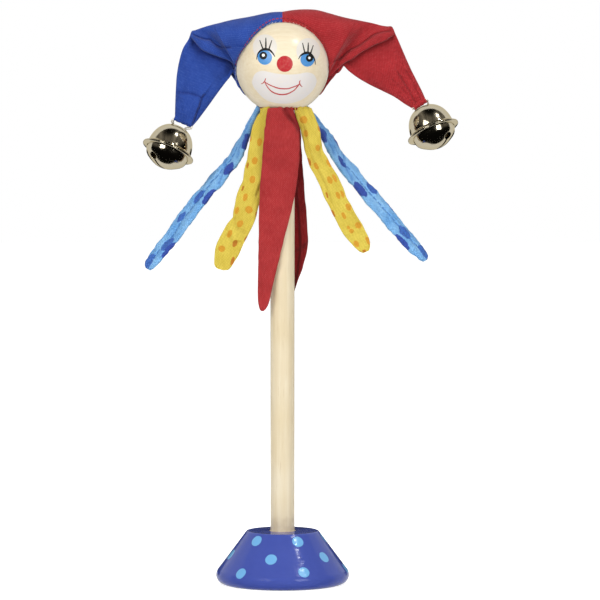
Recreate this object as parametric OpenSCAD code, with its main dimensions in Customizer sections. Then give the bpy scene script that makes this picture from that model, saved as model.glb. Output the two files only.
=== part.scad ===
// Jester on a stick: a wooden ball head with a two-horned cloth hat, bells and cloth strips,
// on a round stick that stands loose in a turned wooden base. Millimetres, +Z up, the face
// looks along -Y, and the origin is the centre of the base's underside.

/* [Base] */
// Widest diameter of the turned base
base_foot_d = 66.4; // [60:0.2:74]
// Diameter of the base's flat top
base_top_d = 36.8; // [30:0.2:44]
// Height of the base
base_h = 26.5; // [24:0.5:34]
// Radius of the rounded bottom edge
base_foot_round = 4.5; // [3:0.25:6]
// Radius of the eased top edge
base_top_round = 1; // [0.5:0.25:2]
// Depth of the socket that the stick stands in
socket_depth = 19.5; // [14:0.5:21]
// Width of the bevel round the socket's mouth
socket_bevel = 0.5; // [0.3:0.1:1]

/* [Stick] */
// Diameter of the stick
stick_d = 12; // [10:0.5:14]
// Length of the stick from its foot to its shoulder
stick_len = 229.3; // [180:1:260]
// Bevel round the stick's foot
stick_bevel = 0.8; // [0.4:0.1:1.2]
// Diameter of the tenon that enters the head
tenon_d = 8; // [6:0.5:9]
// Length of the tenon inside the head
tenon_len = 14; // [10:0.5:20]
// Radial clearance of the stick in its socket
stick_play = 0.08; // [0.05:0.01:0.1]
// Radial clearance of the glued tenon
glue_gap = 0.05; // [0.03:0.01:0.1]

/* [Head] */
// Diameter of the wooden ball
head_d = 46; // [42:0.5:52]
// Diameter of the flat turned under the ball
head_flat_d = 22.6; // [20:0.2:26]
// Thickness of the cloth disc that carries the strips
washer_t = 1.2; // [0.8:0.1:2]

/* [Hat] */
// Thickness of the hat's cloth with its hem
hat_cloth = 1.3; // [1:0.1:2]
// Height of the hat's crown above the ball
hat_rise = 4.1; // [3:0.1:6]
// How far the hat comes down the back of the ball, below its centre
hat_drop = 14; // [10:0.5:17]
// Lean of the hat's rim from upright, in degrees
rim_lean = 9; // [4:1:14]
// How far ahead of the ball's centre the rim lies
rim_ahead = 4; // [2:0.5:6]
// Thickness of a horn at its fold
horn_fold_t = 8; // [6:0.5:10]
// Thickness of a horn at its tip
horn_tip_t = 3; // [2.4:0.1:4]
// Gap between the two cloth parts of a folded horn
fold_gap = 0.35; // [0.3:0.05:0.6]
// Diameter of the tube sewn across a horn's tip
hem_d = 3; // [2.6:0.1:3.6]
// Diameter of the passage inside that tube
hem_bore_d = 1.7; // [1.5:0.1:1.9]

/* [Bells] */
// Diameter of a bell's ball
bell_d = 22.6; // [18:0.2:24]
// Thickness of the bell's pressed metal
bell_wall = 0.5; // [0.4:0.05:0.8]
// How far the rolled edge stands out of the ball
bell_edge = 2; // [1:0.1:2.4]
// Thickness of that edge on each half of the bell
bell_edge_t = 0.5; // [0.4:0.05:0.8]
// How far the joint of a bell's two halves lies below its middle
bell_seam = 2.6; // [0:0.1:3]
// Width of the bell's slot
slot_w = 1.1; // [0.8:0.1:1.6]
// Diameter of the holes at the slot's ends
slot_hole_d = 4.2; // [3:0.1:5]
// Angle from the bell's pole to those holes
slot_reach = 41; // [35:1:46]
// Distance between the two cord holes in the bell's top
cord_hole_pitch = 6; // [5:0.2:7]
// Diameter of those cord holes
cord_hole_d = 2.2; // [1.8:0.1:2.6]
// Diameter of the loose steel pellet
pellet_d = 6; // [5:0.2:7]
// Running room under and over the pellet
pellet_play = 0.3; // [0.2:0.05:0.5]
// Diameter of the white cord that hangs a bell
cord_d = 1.1; // [0.9:0.1:1.3]

/* [Strips] */
// How far the front red strip hangs down below the ball
strip_len = 100.5; // [88:0.5:112]
// Thickness of a sewn and turned strip
strip_t = 1.8; // [1.4:0.1:2.2]
// Gap between the cloth disc and a strip
strip_gap = 0.3; // [0.3:0.05:0.5]
// Width of a red strip at its widest
red_w = 18; // [14:0.5:19]
// Width of a yellow strip
yellow_w = 12; // [9:0.5:12.5]
// Width of a blue strip
blue_w = 12; // [9:0.5:12.5]
// Width of the red strips where they are gathered
red_root_w = 13.3; // [11:0.1:13.6]
// Width of the other strips where they are gathered
side_root_w = 9.6; // [8:0.2:10]

/* [Hidden] */
$fn = 96;
eps = 0.01;

wood = "#eadcbf";
base_blue = "#3d4a9e";
hat_blue = "#2f4fa6";
hat_red = "#ab2f34";
strip_yellow = "#e8cf3c";
strip_blue = "#6fabe0";
bell_metal = "#c4bdae";
cord_white = "#f1ead8";

head_r = head_d / 2;
bell_r = bell_d / 2;
cord_r = cord_d / 2;
stick_foot_z = base_h - socket_depth;
shoulder_z = stick_foot_z + stick_len;
flat_z = shoulder_z + washer_t;
// The ball's centre lies above its flat by the leg of a right triangle.
head_z = flat_z + sqrt(head_r * head_r - head_flat_d * head_flat_d / 4);
head_c = [0, 0, head_z];

// ---------- vectors, curves and lofts ----------
function unit(v) = v / norm(v);
function signed_pow(x, p) = sign(x) * pow(abs(x), p);

// A point on the smooth curve through p0..p3, at share t between p1 and p2. Rows may be any list.
function curve_at(p0, p1, p2, p3, t) =
    0.5 * (2 * p1 + (p2 - p0) * t + (2 * p0 - 5 * p1 + 4 * p2 - p3) * t * t
        + (3 * p1 - p0 - 3 * p2 + p3) * t * t * t);

// The rows again, with `steps` rows for each span, on a smooth curve through all of them.
function smoothed(rows, steps) = let (last = len(rows) - 1) [
    for (i = [0 : last - 1], k = [0 : steps - 1])
        curve_at(rows[max(i - 1, 0)], rows[i], rows[i + 1], rows[min(i + 2, last)], k / steps),
    rows[last],
];

// The same round a closed loop.
function smoothed_loop(rows, steps) = let (n = len(rows)) [
    for (i = [0 : n - 1], k = [0 : steps - 1])
        curve_at(rows[(i + n - 1) % n], rows[i], rows[(i + 1) % n], rows[(i + 2) % n], k / steps),
];

// One ring of a loft: a pillow-shaped outline about c, half sizes a and b along unit vectors u and v.
function pillow_ring(c, u, v, a, b, sides = 16) = [
    for (k = [0 : sides - 1]) let (w = 360 * k / sides)
        c + u * (a * signed_pow(cos(w), 0.75)) + v * (b * signed_pow(sin(w), 0.9)),
];

// A closed solid through rings of equal length.
module loft(rings) {
    n = len(rings[0]);
    m = len(rings);
    polyhedron(
        points = [for (ring = rings, p = ring) p],
        faces = [
            [for (k = [0 : n - 1]) n - 1 - k],
            for (i = [0 : m - 2], k = [0 : n - 1]) let (a = i * n, b = a + n, q = (k + 1) % n)
                each [[a + k, a + q, b + k], [a + q, b + q, b + k]],
            [for (k = [0 : n - 1]) (m - 1) * n + k],
        ]
    );
}

// A closed ring-shaped tube of radius r along the loop's points.
module loop_tube(path, r, sides = 10) {
    m = len(path);
    rings = [
        for (i = [0 : m - 1])
            let (
                along = unit(path[(i + 1) % m] - path[(i + m - 1) % m]),
                side = unit(cross([0, 1, 0], along)),
                out = cross(along, side)
            )
            [for (k = [0 : sides - 1]) path[i] + r * (side * cos(360 * k / sides) + out * sin(360 * k / sides))],
    ];
    polyhedron(
        points = [for (ring = rings, p = ring) p],
        faces = [
            for (i = [0 : m - 1], k = [0 : sides - 1])
                let (a = i * sides, b = ((i + 1) % m) * sides, q = (k + 1) % sides)
                each [[a + k, a + q, b + k], [a + q, b + q, b + k]],
        ]
    );
}

// Turns children so that their +Z runs along the unit vector z and their +X along x.
module turned_to(x, z) {
    y = cross(z, x);
    multmatrix([
        [x[0], y[0], z[0], 0],
        [x[1], y[1], z[1], 0],
        [x[2], y[2], z[2], 0],
        [0, 0, 0, 1],
    ]) children();
}

// ---------- base, stick, head ----------
module base() {
    foot_r = base_foot_d / 2;
    top_r = base_top_d / 2;
    lean = atan((foot_r - top_r) / (base_h - base_foot_round));
    bore_r = stick_d / 2 + stick_play;
    arc_steps = 10;
    color(base_blue) rotate_extrude($fn = 120) polygon([
        [0, 0],
        for (k = [0 : arc_steps]) let (a = -90 + (90 + lean) * k / arc_steps)
            [foot_r - base_foot_round, base_foot_round] + base_foot_round * [cos(a), sin(a)],
        for (k = [0 : arc_steps]) let (a = lean + (90 - lean) * k / arc_steps)
            [top_r - base_top_round, base_h - base_top_round] + base_top_round * [cos(a), sin(a)],
        [bore_r + socket_bevel, base_h],
        [bore_r, base_h - socket_bevel],
        [bore_r, stick_foot_z],
        [0, stick_foot_z],
    ]);
}

module stick() {
    r = stick_d / 2;
    color(wood) rotate_extrude() polygon([
        [0, stick_foot_z],
        [r - stick_bevel, stick_foot_z],
        [r, stick_foot_z + stick_bevel],
        [r, shoulder_z],
        [tenon_d / 2, shoulder_z],
        [tenon_d / 2, flat_z + tenon_len - stick_bevel],
        [tenon_d / 2 - stick_bevel, flat_z + tenon_len],
        [0, flat_z + tenon_len],
    ]);
}

module head() {
    bore_depth = tenon_len + glue_gap;
    color(wood) difference() {
        translate(head_c) sphere(r = head_r);
        translate([0, 0, flat_z - head_d]) cylinder(r = head_d, h = head_d);
        translate([0, 0, flat_z - eps]) cylinder(d = tenon_d + 2 * glue_gap, h = bore_depth + eps);
    }
}

module neck_washer() {
    color(hat_red) translate([0, 0, shoulder_z]) difference() {
        cylinder(d = head_flat_d, h = washer_t);
        translate([0, 0, -eps]) cylinder(d = tenon_d + 2 * glue_gap, h = washer_t + 2 * eps);
    }
}

// ---------- hat ----------
// Each horn leaves the crown, folds over at a line from its outer elbow to its armpit, and
// narrows to its tip. Places are [x outwards, z] from the ball's centre. The pattern is drawn
// for a ball of 46 mm and grows or shrinks with the ball.
LEFT = 0;
RIGHT = 1;
side_sign = [-1, 1];
hat_fit = head_d / 46;
elbow = [hat_fit * [45, 17.4], hat_fit * [54.3, 19.7]];
armpit = [hat_fit * [26.2, -3.4], hat_fit * [29.7, 0.7]];
// From the elbow and from the armpit to the tip's outer and inner corner
tip_outer = [elbow[LEFT] + hat_fit * [8.4, -42.6], elbow[RIGHT] + hat_fit * [16.7, -36]];
tip_inner = [armpit[LEFT] + hat_fit * [18.5, -26], armpit[RIGHT] + hat_fit * [35.1, -21.6]];
// How far the outer edge bows out, and the inner edge in, at a third and two thirds of their length
outer_bow = [[3.6, 3.2], [0.2, 0.2]];
inner_bow = [[0.3, 0.4], [-1.2, -1.6]];

function outward(side, p, y = 0) = head_c + [side_sign[side] * p[0], y, p[1]];
function fold_axis(side) = unit(outward(side, armpit[side]) - outward(side, elbow[side]));
function fold_middle(side) = (outward(side, armpit[side]) + outward(side, elbow[side])) / 2;

// The horn's two edges at share s of the way from the fold to the tip, as [outer, inner]
function edge_at(from, to, bow, s, lean) =
    from + (to - from) * s + lean * (hat_fit * (s < 0.5 ? bow[0] : bow[1]) * sin(180 * s));
function horn_edges(side, s) = [
    edge_at(elbow[side], tip_outer[side], outer_bow[side], s, [1, 0.1]),
    edge_at(armpit[side], tip_inner[side], inner_bow[side], s, [-0.4, -1]),
];

function horn_ring(side, s) =
    let (
        e = horn_edges(side, s),
        a = outward(side, e[0]),
        b = outward(side, e[1]),
        t = horn_fold_t + (horn_tip_t - horn_fold_t) * pow(s, 0.7)
    )
    pillow_ring((a + b) / 2, side_sign[side] * unit(b - a), [0, 1, 0], norm(b - a) / 2, t / 2);

// The rounded end that turns in the fold, `turn` degrees round from the fold's own section
function knuckle_ring(side, turn) =
    let (
        a = fold_axis(side),
        back = side_sign[side] * cross([0, 1, 0], a),
        half_len = norm(outward(side, armpit[side]) - outward(side, elbow[side])) / 2,
        r = horn_fold_t / 2
    )
    pillow_ring(
        fold_middle(side) + back * (r * sin(turn)), side_sign[side] * a, [0, 1, 0],
        half_len, r * cos(turn)
    );

// The crown's line, as [share of the elbow's distance, height against the crown's top], and the
// line of its underside, as [outwards, height]
crown_line = [[[0.26, -1.2], [0.5, -3.4], [0.78, -6.3]], [[0.22, 1.3], [0.45, -0.9], [0.75, -4.6]]];
crown_under = [[[11, -15.4], [19.5, -12.5], [24.8, -7]], [[11, -15.4], [20, -12], [27, -4.6]]];

// The crown's sections, from just past the seam to the fold, as [top, underside, front, back]
function crown_rows(side) =
    let (
        e = elbow[side],
        top = head_r + hat_rise,
        l = crown_line[side],
        u = hat_fit * crown_under[side],
        past_seam = -0.13 * head_r
    )
    [
        [[past_seam, top], [past_seam, -head_r * 0.65], -head_r * 0.565, head_r * 1.065],
        [[e[0] * l[0][0], top + hat_fit * l[0][1]], u[0], -head_r * 0.545, head_r * 0.974],
        [[e[0] * l[1][0], top + hat_fit * l[1][1]], u[1], -head_r * 0.39, head_r * 0.674],
        [[e[0] * l[2][0], top + hat_fit * l[2][1]], u[2], -horn_fold_t * 0.9, horn_fold_t],
        [e, armpit[side], -horn_fold_t / 2, horn_fold_t / 2],
    ];

module horn_root(side) {
    loft([
        for (row = smoothed(crown_rows(side), 3))
            let (a = outward(side, row[0]), b = outward(side, row[1]), y = (row[2] + row[3]) / 2)
            pillow_ring(
                (a + b) / 2 + [0, y, 0], side_sign[side] * unit(b - a), [0, 1, 0],
                norm(b - a) / 2, (row[3] - row[2]) / 2, 24
            ),
    ]);
}

module hat_half(side) {
    reach = 3 * head_d;
    difference() {
        horn_root(side);
        // The other half, and below the hat
        translate([side == LEFT ? 0 : -reach, -reach / 2, head_z - reach / 2]) cube(reach);
        translate([-reach / 2, -reach / 2, head_z - hat_drop - reach]) cube(reach);
        translate(head_c) sphere(r = head_r + glue_gap);
        // The face's opening, in front of the rim
        translate(head_c) rotate([90 + rim_lean, 0, 0]) translate([0, 0, rim_ahead])
            cylinder(r1 = head_r + hat_cloth, r2 = head_r + hat_cloth + reach, h = reach);
        // Room for the fold
        translate(fold_middle(side)) turned_to([0, 1, 0], fold_axis(side))
            cylinder(d = horn_fold_t + 2 * fold_gap, h = reach, center = true, $fn = 48);
    }
}

module horn_tip(side) {
    steps = 8;
    difference() {
        loft(concat(
            [for (turn = [82, 62, 42, 20]) knuckle_ring(side, turn)],
            [for (k = [0 : steps]) horn_ring(side, k / steps)]
        ));
        hem_space(side, hem_d + 0.1);
    }
}

// ---------- tip hem, cord and bell ----------
function hem_ends(side) = [outward(side, tip_outer[side]), outward(side, tip_inner[side])];
function hem_axis(side) = unit(hem_ends(side)[1] - hem_ends(side)[0]);
function hem_middle(side) = (hem_ends(side)[0] + hem_ends(side)[1]) / 2;
function hem_len(side) = norm(hem_ends(side)[1] - hem_ends(side)[0]) - 1.6;

module hem_space(side, d) {
    translate(hem_middle(side)) turned_to([0, 1, 0], hem_axis(side))
        cylinder(d = d, h = 3 * hem_len(side), center = true, $fn = 48);
}

module tip_hem(side) {
    translate(hem_middle(side)) turned_to([0, 1, 0], hem_axis(side)) difference() {
        cylinder(d = hem_d, h = hem_len(side), center = true, $fn = 48);
        cylinder(d = hem_bore_d, h = hem_len(side) + 1, center = true, $fn = 48);
    }
}

// The bell's centre from the hem's middle, as [x outwards, z], and its axis from pole to cord holes
bell_drop = [bell_r * [0.593, -1.097], bell_r * [0.528, -1.032]];
function bell_up(side) = unit([-side_sign[side] * 0.371, 0.31, 0.875]);
function slot_way(side) =
    unit(cross(bell_up(side), cross([side_sign[side] * 0.66, -0.576, 0.482], bell_up(side))));
function bell_centre(side) = hem_middle(side) + [side_sign[side] * bell_drop[side][0], 0, bell_drop[side][1]];
// The way across the two cord holes, as near the hem's as the bell's tilt lets it be
function hole_way(side) = unit(cross(bell_up(side), cross(hem_axis(side), bell_up(side))));

module at_bell(side) {
    translate(bell_centre(side)) turned_to(slot_way(side), bell_up(side)) children();
}

// Half the outline of one cup, from its pole to its rolled edge, which lies `low` below the middle
module bell_cup_profile(low) {
    arc_steps = 24;
    inner = bell_r - bell_wall;
    edge_r = bell_r + bell_edge;
    outer_end = 90 + asin((low - bell_edge_t) / bell_r);
    inner_end = 90 + asin(low / inner);
    polygon([
        for (k = [0 : arc_steps]) let (a = outer_end * k / arc_steps) bell_r * [sin(a), cos(a)],
        [edge_r, bell_edge_t * 0.8 - low],
        [edge_r, -low],
        for (k = [0 : arc_steps]) let (a = inner_end * (1 - k / arc_steps)) inner * [sin(a), cos(a)],
    ]);
}

module bell_top(side) {
    color(bell_metal) at_bell(side) difference() {
        rotate_extrude() bell_cup_profile(bell_seam);
        cord_holes(side);
    }
}

module cord_holes(side) {
    x = slot_way(side);
    turn = atan2(hole_way(side) * cross(bell_up(side), x), hole_way(side) * x);
    for (end = [-1, 1])
        rotate([0, 0, turn]) translate([end * cord_hole_pitch / 2, 0, 0]) cylinder(d = cord_hole_d, h = bell_d);
}

module bell_bottom(side) {
    color(bell_metal) at_bell(side) difference() {
        mirror([0, 0, 1]) rotate_extrude() bell_cup_profile(-bell_seam);
        for (end = [-1, 1])
            rotate([0, end * (180 - slot_reach), 0]) cylinder(d = slot_hole_d, h = bell_d);
        intersection() {
            translate([-bell_r, -slot_w / 2, -bell_d]) cube([bell_d, slot_w, bell_d]);
            slot_fan();
        }
    }
}

// The wedge between the two slot holes
module slot_fan() {
    reach = bell_d;
    rotate([90, 0, 0]) linear_extrude(bell_d, center = true) polygon([
        [0, 0],
        reach * [-sin(slot_reach), -cos(slot_reach)],
        reach * [0, -1.4],
        reach * [sin(slot_reach), -cos(slot_reach)],
    ]);
}

module pellet(side) {
    drop = bell_r - bell_wall - pellet_play - pellet_d / 2;
    color(bell_metal) translate(bell_centre(side) - [0, 0, drop]) sphere(d = pellet_d);
}

// The cord goes through the hem, down both sides, and through the bell's two holes
function cord_loop(side) =
    let (
        a = hem_axis(side),
        m = hem_middle(side),
        out = hem_len(side) / 2,
        c = bell_centre(side),
        up = bell_up(side),
        w = hole_way(side),
        p = cord_hole_pitch / 2,
        wall_z = sqrt(bell_r * bell_r - p * p),
        inside = bell_r - bell_wall - cord_r - 0.5,
        down = unit(c - m),
        // The legs dip below the hem by their own radius and most of the way to the bell
        dip = cord_r + 0.65 * (norm(c - m) - bell_r - hem_d / 2)
    )
    [
        m - a * (out * 0.85), m, m + a * (out * 0.85),
        m + a * (out + cord_r + 0.8) + down * dip,
        c + up * (wall_z + 0.4) + w * (p + 0.25),
        c + up * (wall_z - 1.2) + w * (p - 0.25),
        c + up * inside,
        c + up * (wall_z - 1.2) - w * (p - 0.25),
        c + up * (wall_z + 0.4) - w * (p + 0.25),
        m - a * (out + cord_r + 0.8) + down * dip,
    ];

module bell_cord(side) {
    color(cord_white) loop_tube(smoothed_loop(cord_loop(side), 5), cord_r);
}

// ---------- cloth strips ----------
// A strip hangs from the cloth disc's edge at angle `az` round the stick. Its rows are
// [x, y, z below the flat, width as a share, way it faces in degrees], chosen by hand.
strip_r = head_flat_d / 2 + strip_gap + strip_t / 2;
function strip_root(az) = [strip_r * cos(az), strip_r * sin(az), -strip_t / 3];
// The rows are drawn for strips that hang down 100.5 mm about a 12 mm stick
strip_fit = strip_len / 100.5;
stick_fit = stick_d / 12;

function strip_rows(root_w, w, az, rows) = [
    concat(strip_root(az), [root_w, az]),
    concat(strip_root(az) * 1.03 + [0, 0, -3.4 * strip_fit], [root_w * 1.02, az]),
    for (r = rows) [r[0] * strip_fit, r[1] * stick_fit, r[2] * strip_fit, w * r[3], r[4]],
];

module strip(rows) {
    fine = smoothed(rows, 3);
    last = len(fine) - 1;
    centres = [for (r = fine) [r[0], r[1], flat_z + r[2]]];
    loft([
        for (i = [0 : last])
            let (
                along = i == 0 ? [0, 0, -1] : unit(centres[min(i + 1, last)] - centres[i - 1]),
                faces = [cos(fine[i][4]), sin(fine[i][4]), 0],
                across = unit(cross(along, faces)),
                thick = cross(across, along)
            )
            pillow_ring(centres[i], across, thick, fine[i][3] / 2, strip_t / 2, 12),
    ]);
}

red_front_rows = strip_rows(red_root_w, red_w, 270, [
    [0.3, -11.6, -11, 0.97, 270], [-0.6, -9.2, -26, 1, 270], [-2.4, -7.9, -42, 0.95, 270],
    [-4.4, -7.6, -59, 0.82, 270], [-6.6, -7.6, -74, 0.62, 270], [-8.8, -7.6, -89, 0.4, 270],
    [-9.8, -7.6, -97, 0.3, 270], [-10, -7.6, -100.5, 0.12, 270],
]);
red_back_rows = strip_rows(red_root_w, red_w, 90, [
    [0.2, 11.8, -11, 0.97, 90], [0.8, 10, -26, 1, 90], [2, 8.4, -42, 1, 90],
    [4, 7.9, -59, 0.94, 90], [4.6, 7.8, -72, 0.84, 90], [3.4, 7.8, -86, 0.5, 90],
    [1.6, 7.8, -96, 0.26, 90], [1, 7.8, -99, 0.12, 90],
]);
yellow_left_rows = strip_rows(side_root_w, yellow_w, 205, [
    [-12.4, -5.4, -11, 0.85, 232], [-14.2, -5, -24, 0.95, 252], [-15.4, -4.4, -37, 1, 262],
    [-18, -4.2, -48, 1, 268], [-21.6, -4.2, -58, 1.05, 268], [-26.2, -4.4, -68, 1.05, 268],
    [-29.4, -4.6, -77, 0.95, 268], [-30.4, -4.6, -80, 0.5, 268],
]);
yellow_right_rows = strip_rows(side_root_w, yellow_w, 335, [
    [13.4, -5.4, -11, 0.85, 308], [17.6, -5, -24, 0.93, 288], [22.6, -4.4, -35, 0.93, 278],
    [28, -4.2, -46, 0.95, 272], [33, -4.2, -56, 1, 272], [38.4, -4.4, -65, 0.95, 272],
    [41.8, -4.6, -71, 0.75, 272], [42.8, -4.6, -73, 0.4, 272],
]);
blue_left_rows = strip_rows(side_root_w, blue_w, 151, [
    [-15.8, 7.6, -10.5, 0.9, 178], [-23.6, 9.4, -22, 0.95, 200], [-32.4, 10.6, -34, 1, 212],
    [-40.6, 11.4, -45.5, 1, 218], [-49.4, 12, -56.5, 0.98, 218], [-58.6, 12.4, -68, 0.95, 214],
    [-66, 12.6, -78.4, 0.85, 212], [-67.8, 12.6, -81, 0.45, 212],
]);
blue_right_rows = strip_rows(side_root_w, blue_w, 29, [
    [17, 7.6, -9.5, 0.9, 2], [25.4, 9.4, -20, 0.95, -20], [34.4, 10.6, -30.5, 1, -32],
    [42.4, 11.4, -41, 1, -38], [50.6, 12, -52, 0.98, -38], [60, 12.4, -63, 0.95, -34],
    [69.6, 12.6, -74, 0.85, -32], [71.8, 12.6, -76.6, 0.45, -32],
]);

base();
stick();
head();
neck_washer();
color(hat_blue) hat_half(LEFT);  // hat_left
color(hat_red) hat_half(RIGHT);  // hat_right
color(hat_blue) horn_tip(LEFT);  // left_horn_tip
color(hat_red) horn_tip(RIGHT);  // right_horn_tip
color(hat_blue) tip_hem(LEFT);  // left_tip_hem
color(hat_red) tip_hem(RIGHT);  // right_tip_hem
bell_cord(LEFT);  // left_bell_cord
bell_cord(RIGHT);  // right_bell_cord
bell_top(LEFT);  // left_bell_top
bell_top(RIGHT);  // right_bell_top
bell_bottom(LEFT);  // left_bell_bottom
bell_bottom(RIGHT);  // right_bell_bottom
pellet(LEFT);  // left_bell_pellet
pellet(RIGHT);  // right_bell_pellet
color(hat_red) strip(red_front_rows);  // red_front_strip
color(hat_red) strip(red_back_rows);  // red_back_strip
color(strip_yellow) strip(yellow_left_rows);  // yellow_left_strip
color(strip_yellow) strip(yellow_right_rows);  // yellow_right_strip
color(strip_blue) strip(blue_left_rows);  // blue_left_strip
color(strip_blue) strip(blue_right_rows);  // blue_right_strip
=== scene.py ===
"""A jester's head on a stick, standing in its turned base: everything the eye sees of it,
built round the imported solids. Lengths are in mm until MM turns them to metres, and a pattern's
scale is one over the size of its grains or lumps."""

import math

import bmesh
import bpy
import numpy as np
from mathutils import Matrix, Vector, noise


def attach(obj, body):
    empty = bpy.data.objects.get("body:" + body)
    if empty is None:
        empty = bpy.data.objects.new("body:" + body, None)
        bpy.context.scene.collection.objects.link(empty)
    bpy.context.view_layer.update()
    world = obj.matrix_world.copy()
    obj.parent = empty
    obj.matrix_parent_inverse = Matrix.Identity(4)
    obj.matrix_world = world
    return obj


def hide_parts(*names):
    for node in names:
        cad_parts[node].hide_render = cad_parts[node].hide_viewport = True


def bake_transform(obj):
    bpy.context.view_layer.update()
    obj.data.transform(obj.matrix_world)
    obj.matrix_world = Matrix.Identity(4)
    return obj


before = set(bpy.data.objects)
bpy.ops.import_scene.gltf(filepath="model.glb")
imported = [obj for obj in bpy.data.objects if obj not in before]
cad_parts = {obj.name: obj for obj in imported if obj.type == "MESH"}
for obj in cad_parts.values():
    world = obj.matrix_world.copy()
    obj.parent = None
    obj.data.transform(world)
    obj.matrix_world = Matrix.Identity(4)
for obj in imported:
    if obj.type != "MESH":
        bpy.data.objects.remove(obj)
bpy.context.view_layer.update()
scene = bpy.context.scene
MM = 0.001


# ---- Camera ----
# A long lens 2.3 m away and a little above the head, aimed at the middle of the object.
camera = bpy.data.objects.new("camera", bpy.data.cameras.new("camera"))
scene.collection.objects.link(camera)
scene.camera = camera
camera.data.sensor_width = 36
camera.data.lens = 278.3
camera.data.clip_end = 20
camera.location = (0, -2.3, 0.3)
view_line = Vector((0.0087, 0, 0.1417)) - camera.location
camera.rotation_euler = view_line.to_track_quat("-Z", "Y").to_euler()


# ---- Base ----
# A wooden foot turned on the lathe, sprayed with blue gloss lacquer and dabbed with three
# rows of light-blue paint dots. The bore stays bare wood where the stick goes in.
BASE_BLUE = "#4150a0"
BASE_BLUE_CLOUD = "#4857a7"
BASE_DOT = "#72afdf"
BASE_RIM_WOOD = "#e9dcc4"
# A dot's size, half the width of its soft edge, and how far its outline strays
DOT_RADIUS = 2.92
DOT_EDGE = 0.12
DOT_WANDER = 0.3
BORE_RADIUS = 6.6
BORE_FLOOR = 5
# (height, distance from the axis there, compass angle of each dot from the front): three rows,
# the lowest with one dot set a little high
DOT_ROWS = (
    (23.3, 20.6, (-39.3, 21.8, 86, 144, 204, 262)),
    (15.0, 26.2, (-77, -12.5, 51.4, 111, 170, 227)),
    (7.6, 31.1, (-40.6, 83, 142, 203, 262)),
    (8.8, 30.3, (20,)),
)


def srgb(code):
    """A colour written as sRGB hex, as the linear RGBA that a shader takes."""
    parts = [int(code[i:i + 2], 16) / 255 for i in (1, 3, 5)]
    return (*[p / 12.92 if p <= 0.04045 else ((p + 0.055) / 1.055) ** 2.4 for p in parts], 1)


def new_material(name):
    """An empty node material, as (material, its node tree)."""
    material = bpy.data.materials.new(name)
    material.use_nodes = True
    material.node_tree.nodes.clear()
    return material, material.node_tree


def add(tree, kind, inputs=None, **settings):
    """Adds one shader node with its settings. Each input is a value, a socket to link, or a node
    whose output in use is linked."""
    node = tree.nodes.new("ShaderNode" + kind)
    for key, value in settings.items():
        setattr(node, key, value)
    for key, value in (inputs or {}).items():
        if isinstance(value, bpy.types.Node):
            value = next(socket for socket in value.outputs if socket.enabled)
        if isinstance(value, bpy.types.NodeSocket):
            tree.links.new(value, node.inputs[key])
        else:
            node.inputs[key].default_value = value
    return node


def dress(node_name, material):
    """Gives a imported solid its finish."""
    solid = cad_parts[node_name]
    solid.data.materials.clear()
    solid.data.materials.append(material)
    for face in solid.data.polygons:
        face.use_smooth = True


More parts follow.
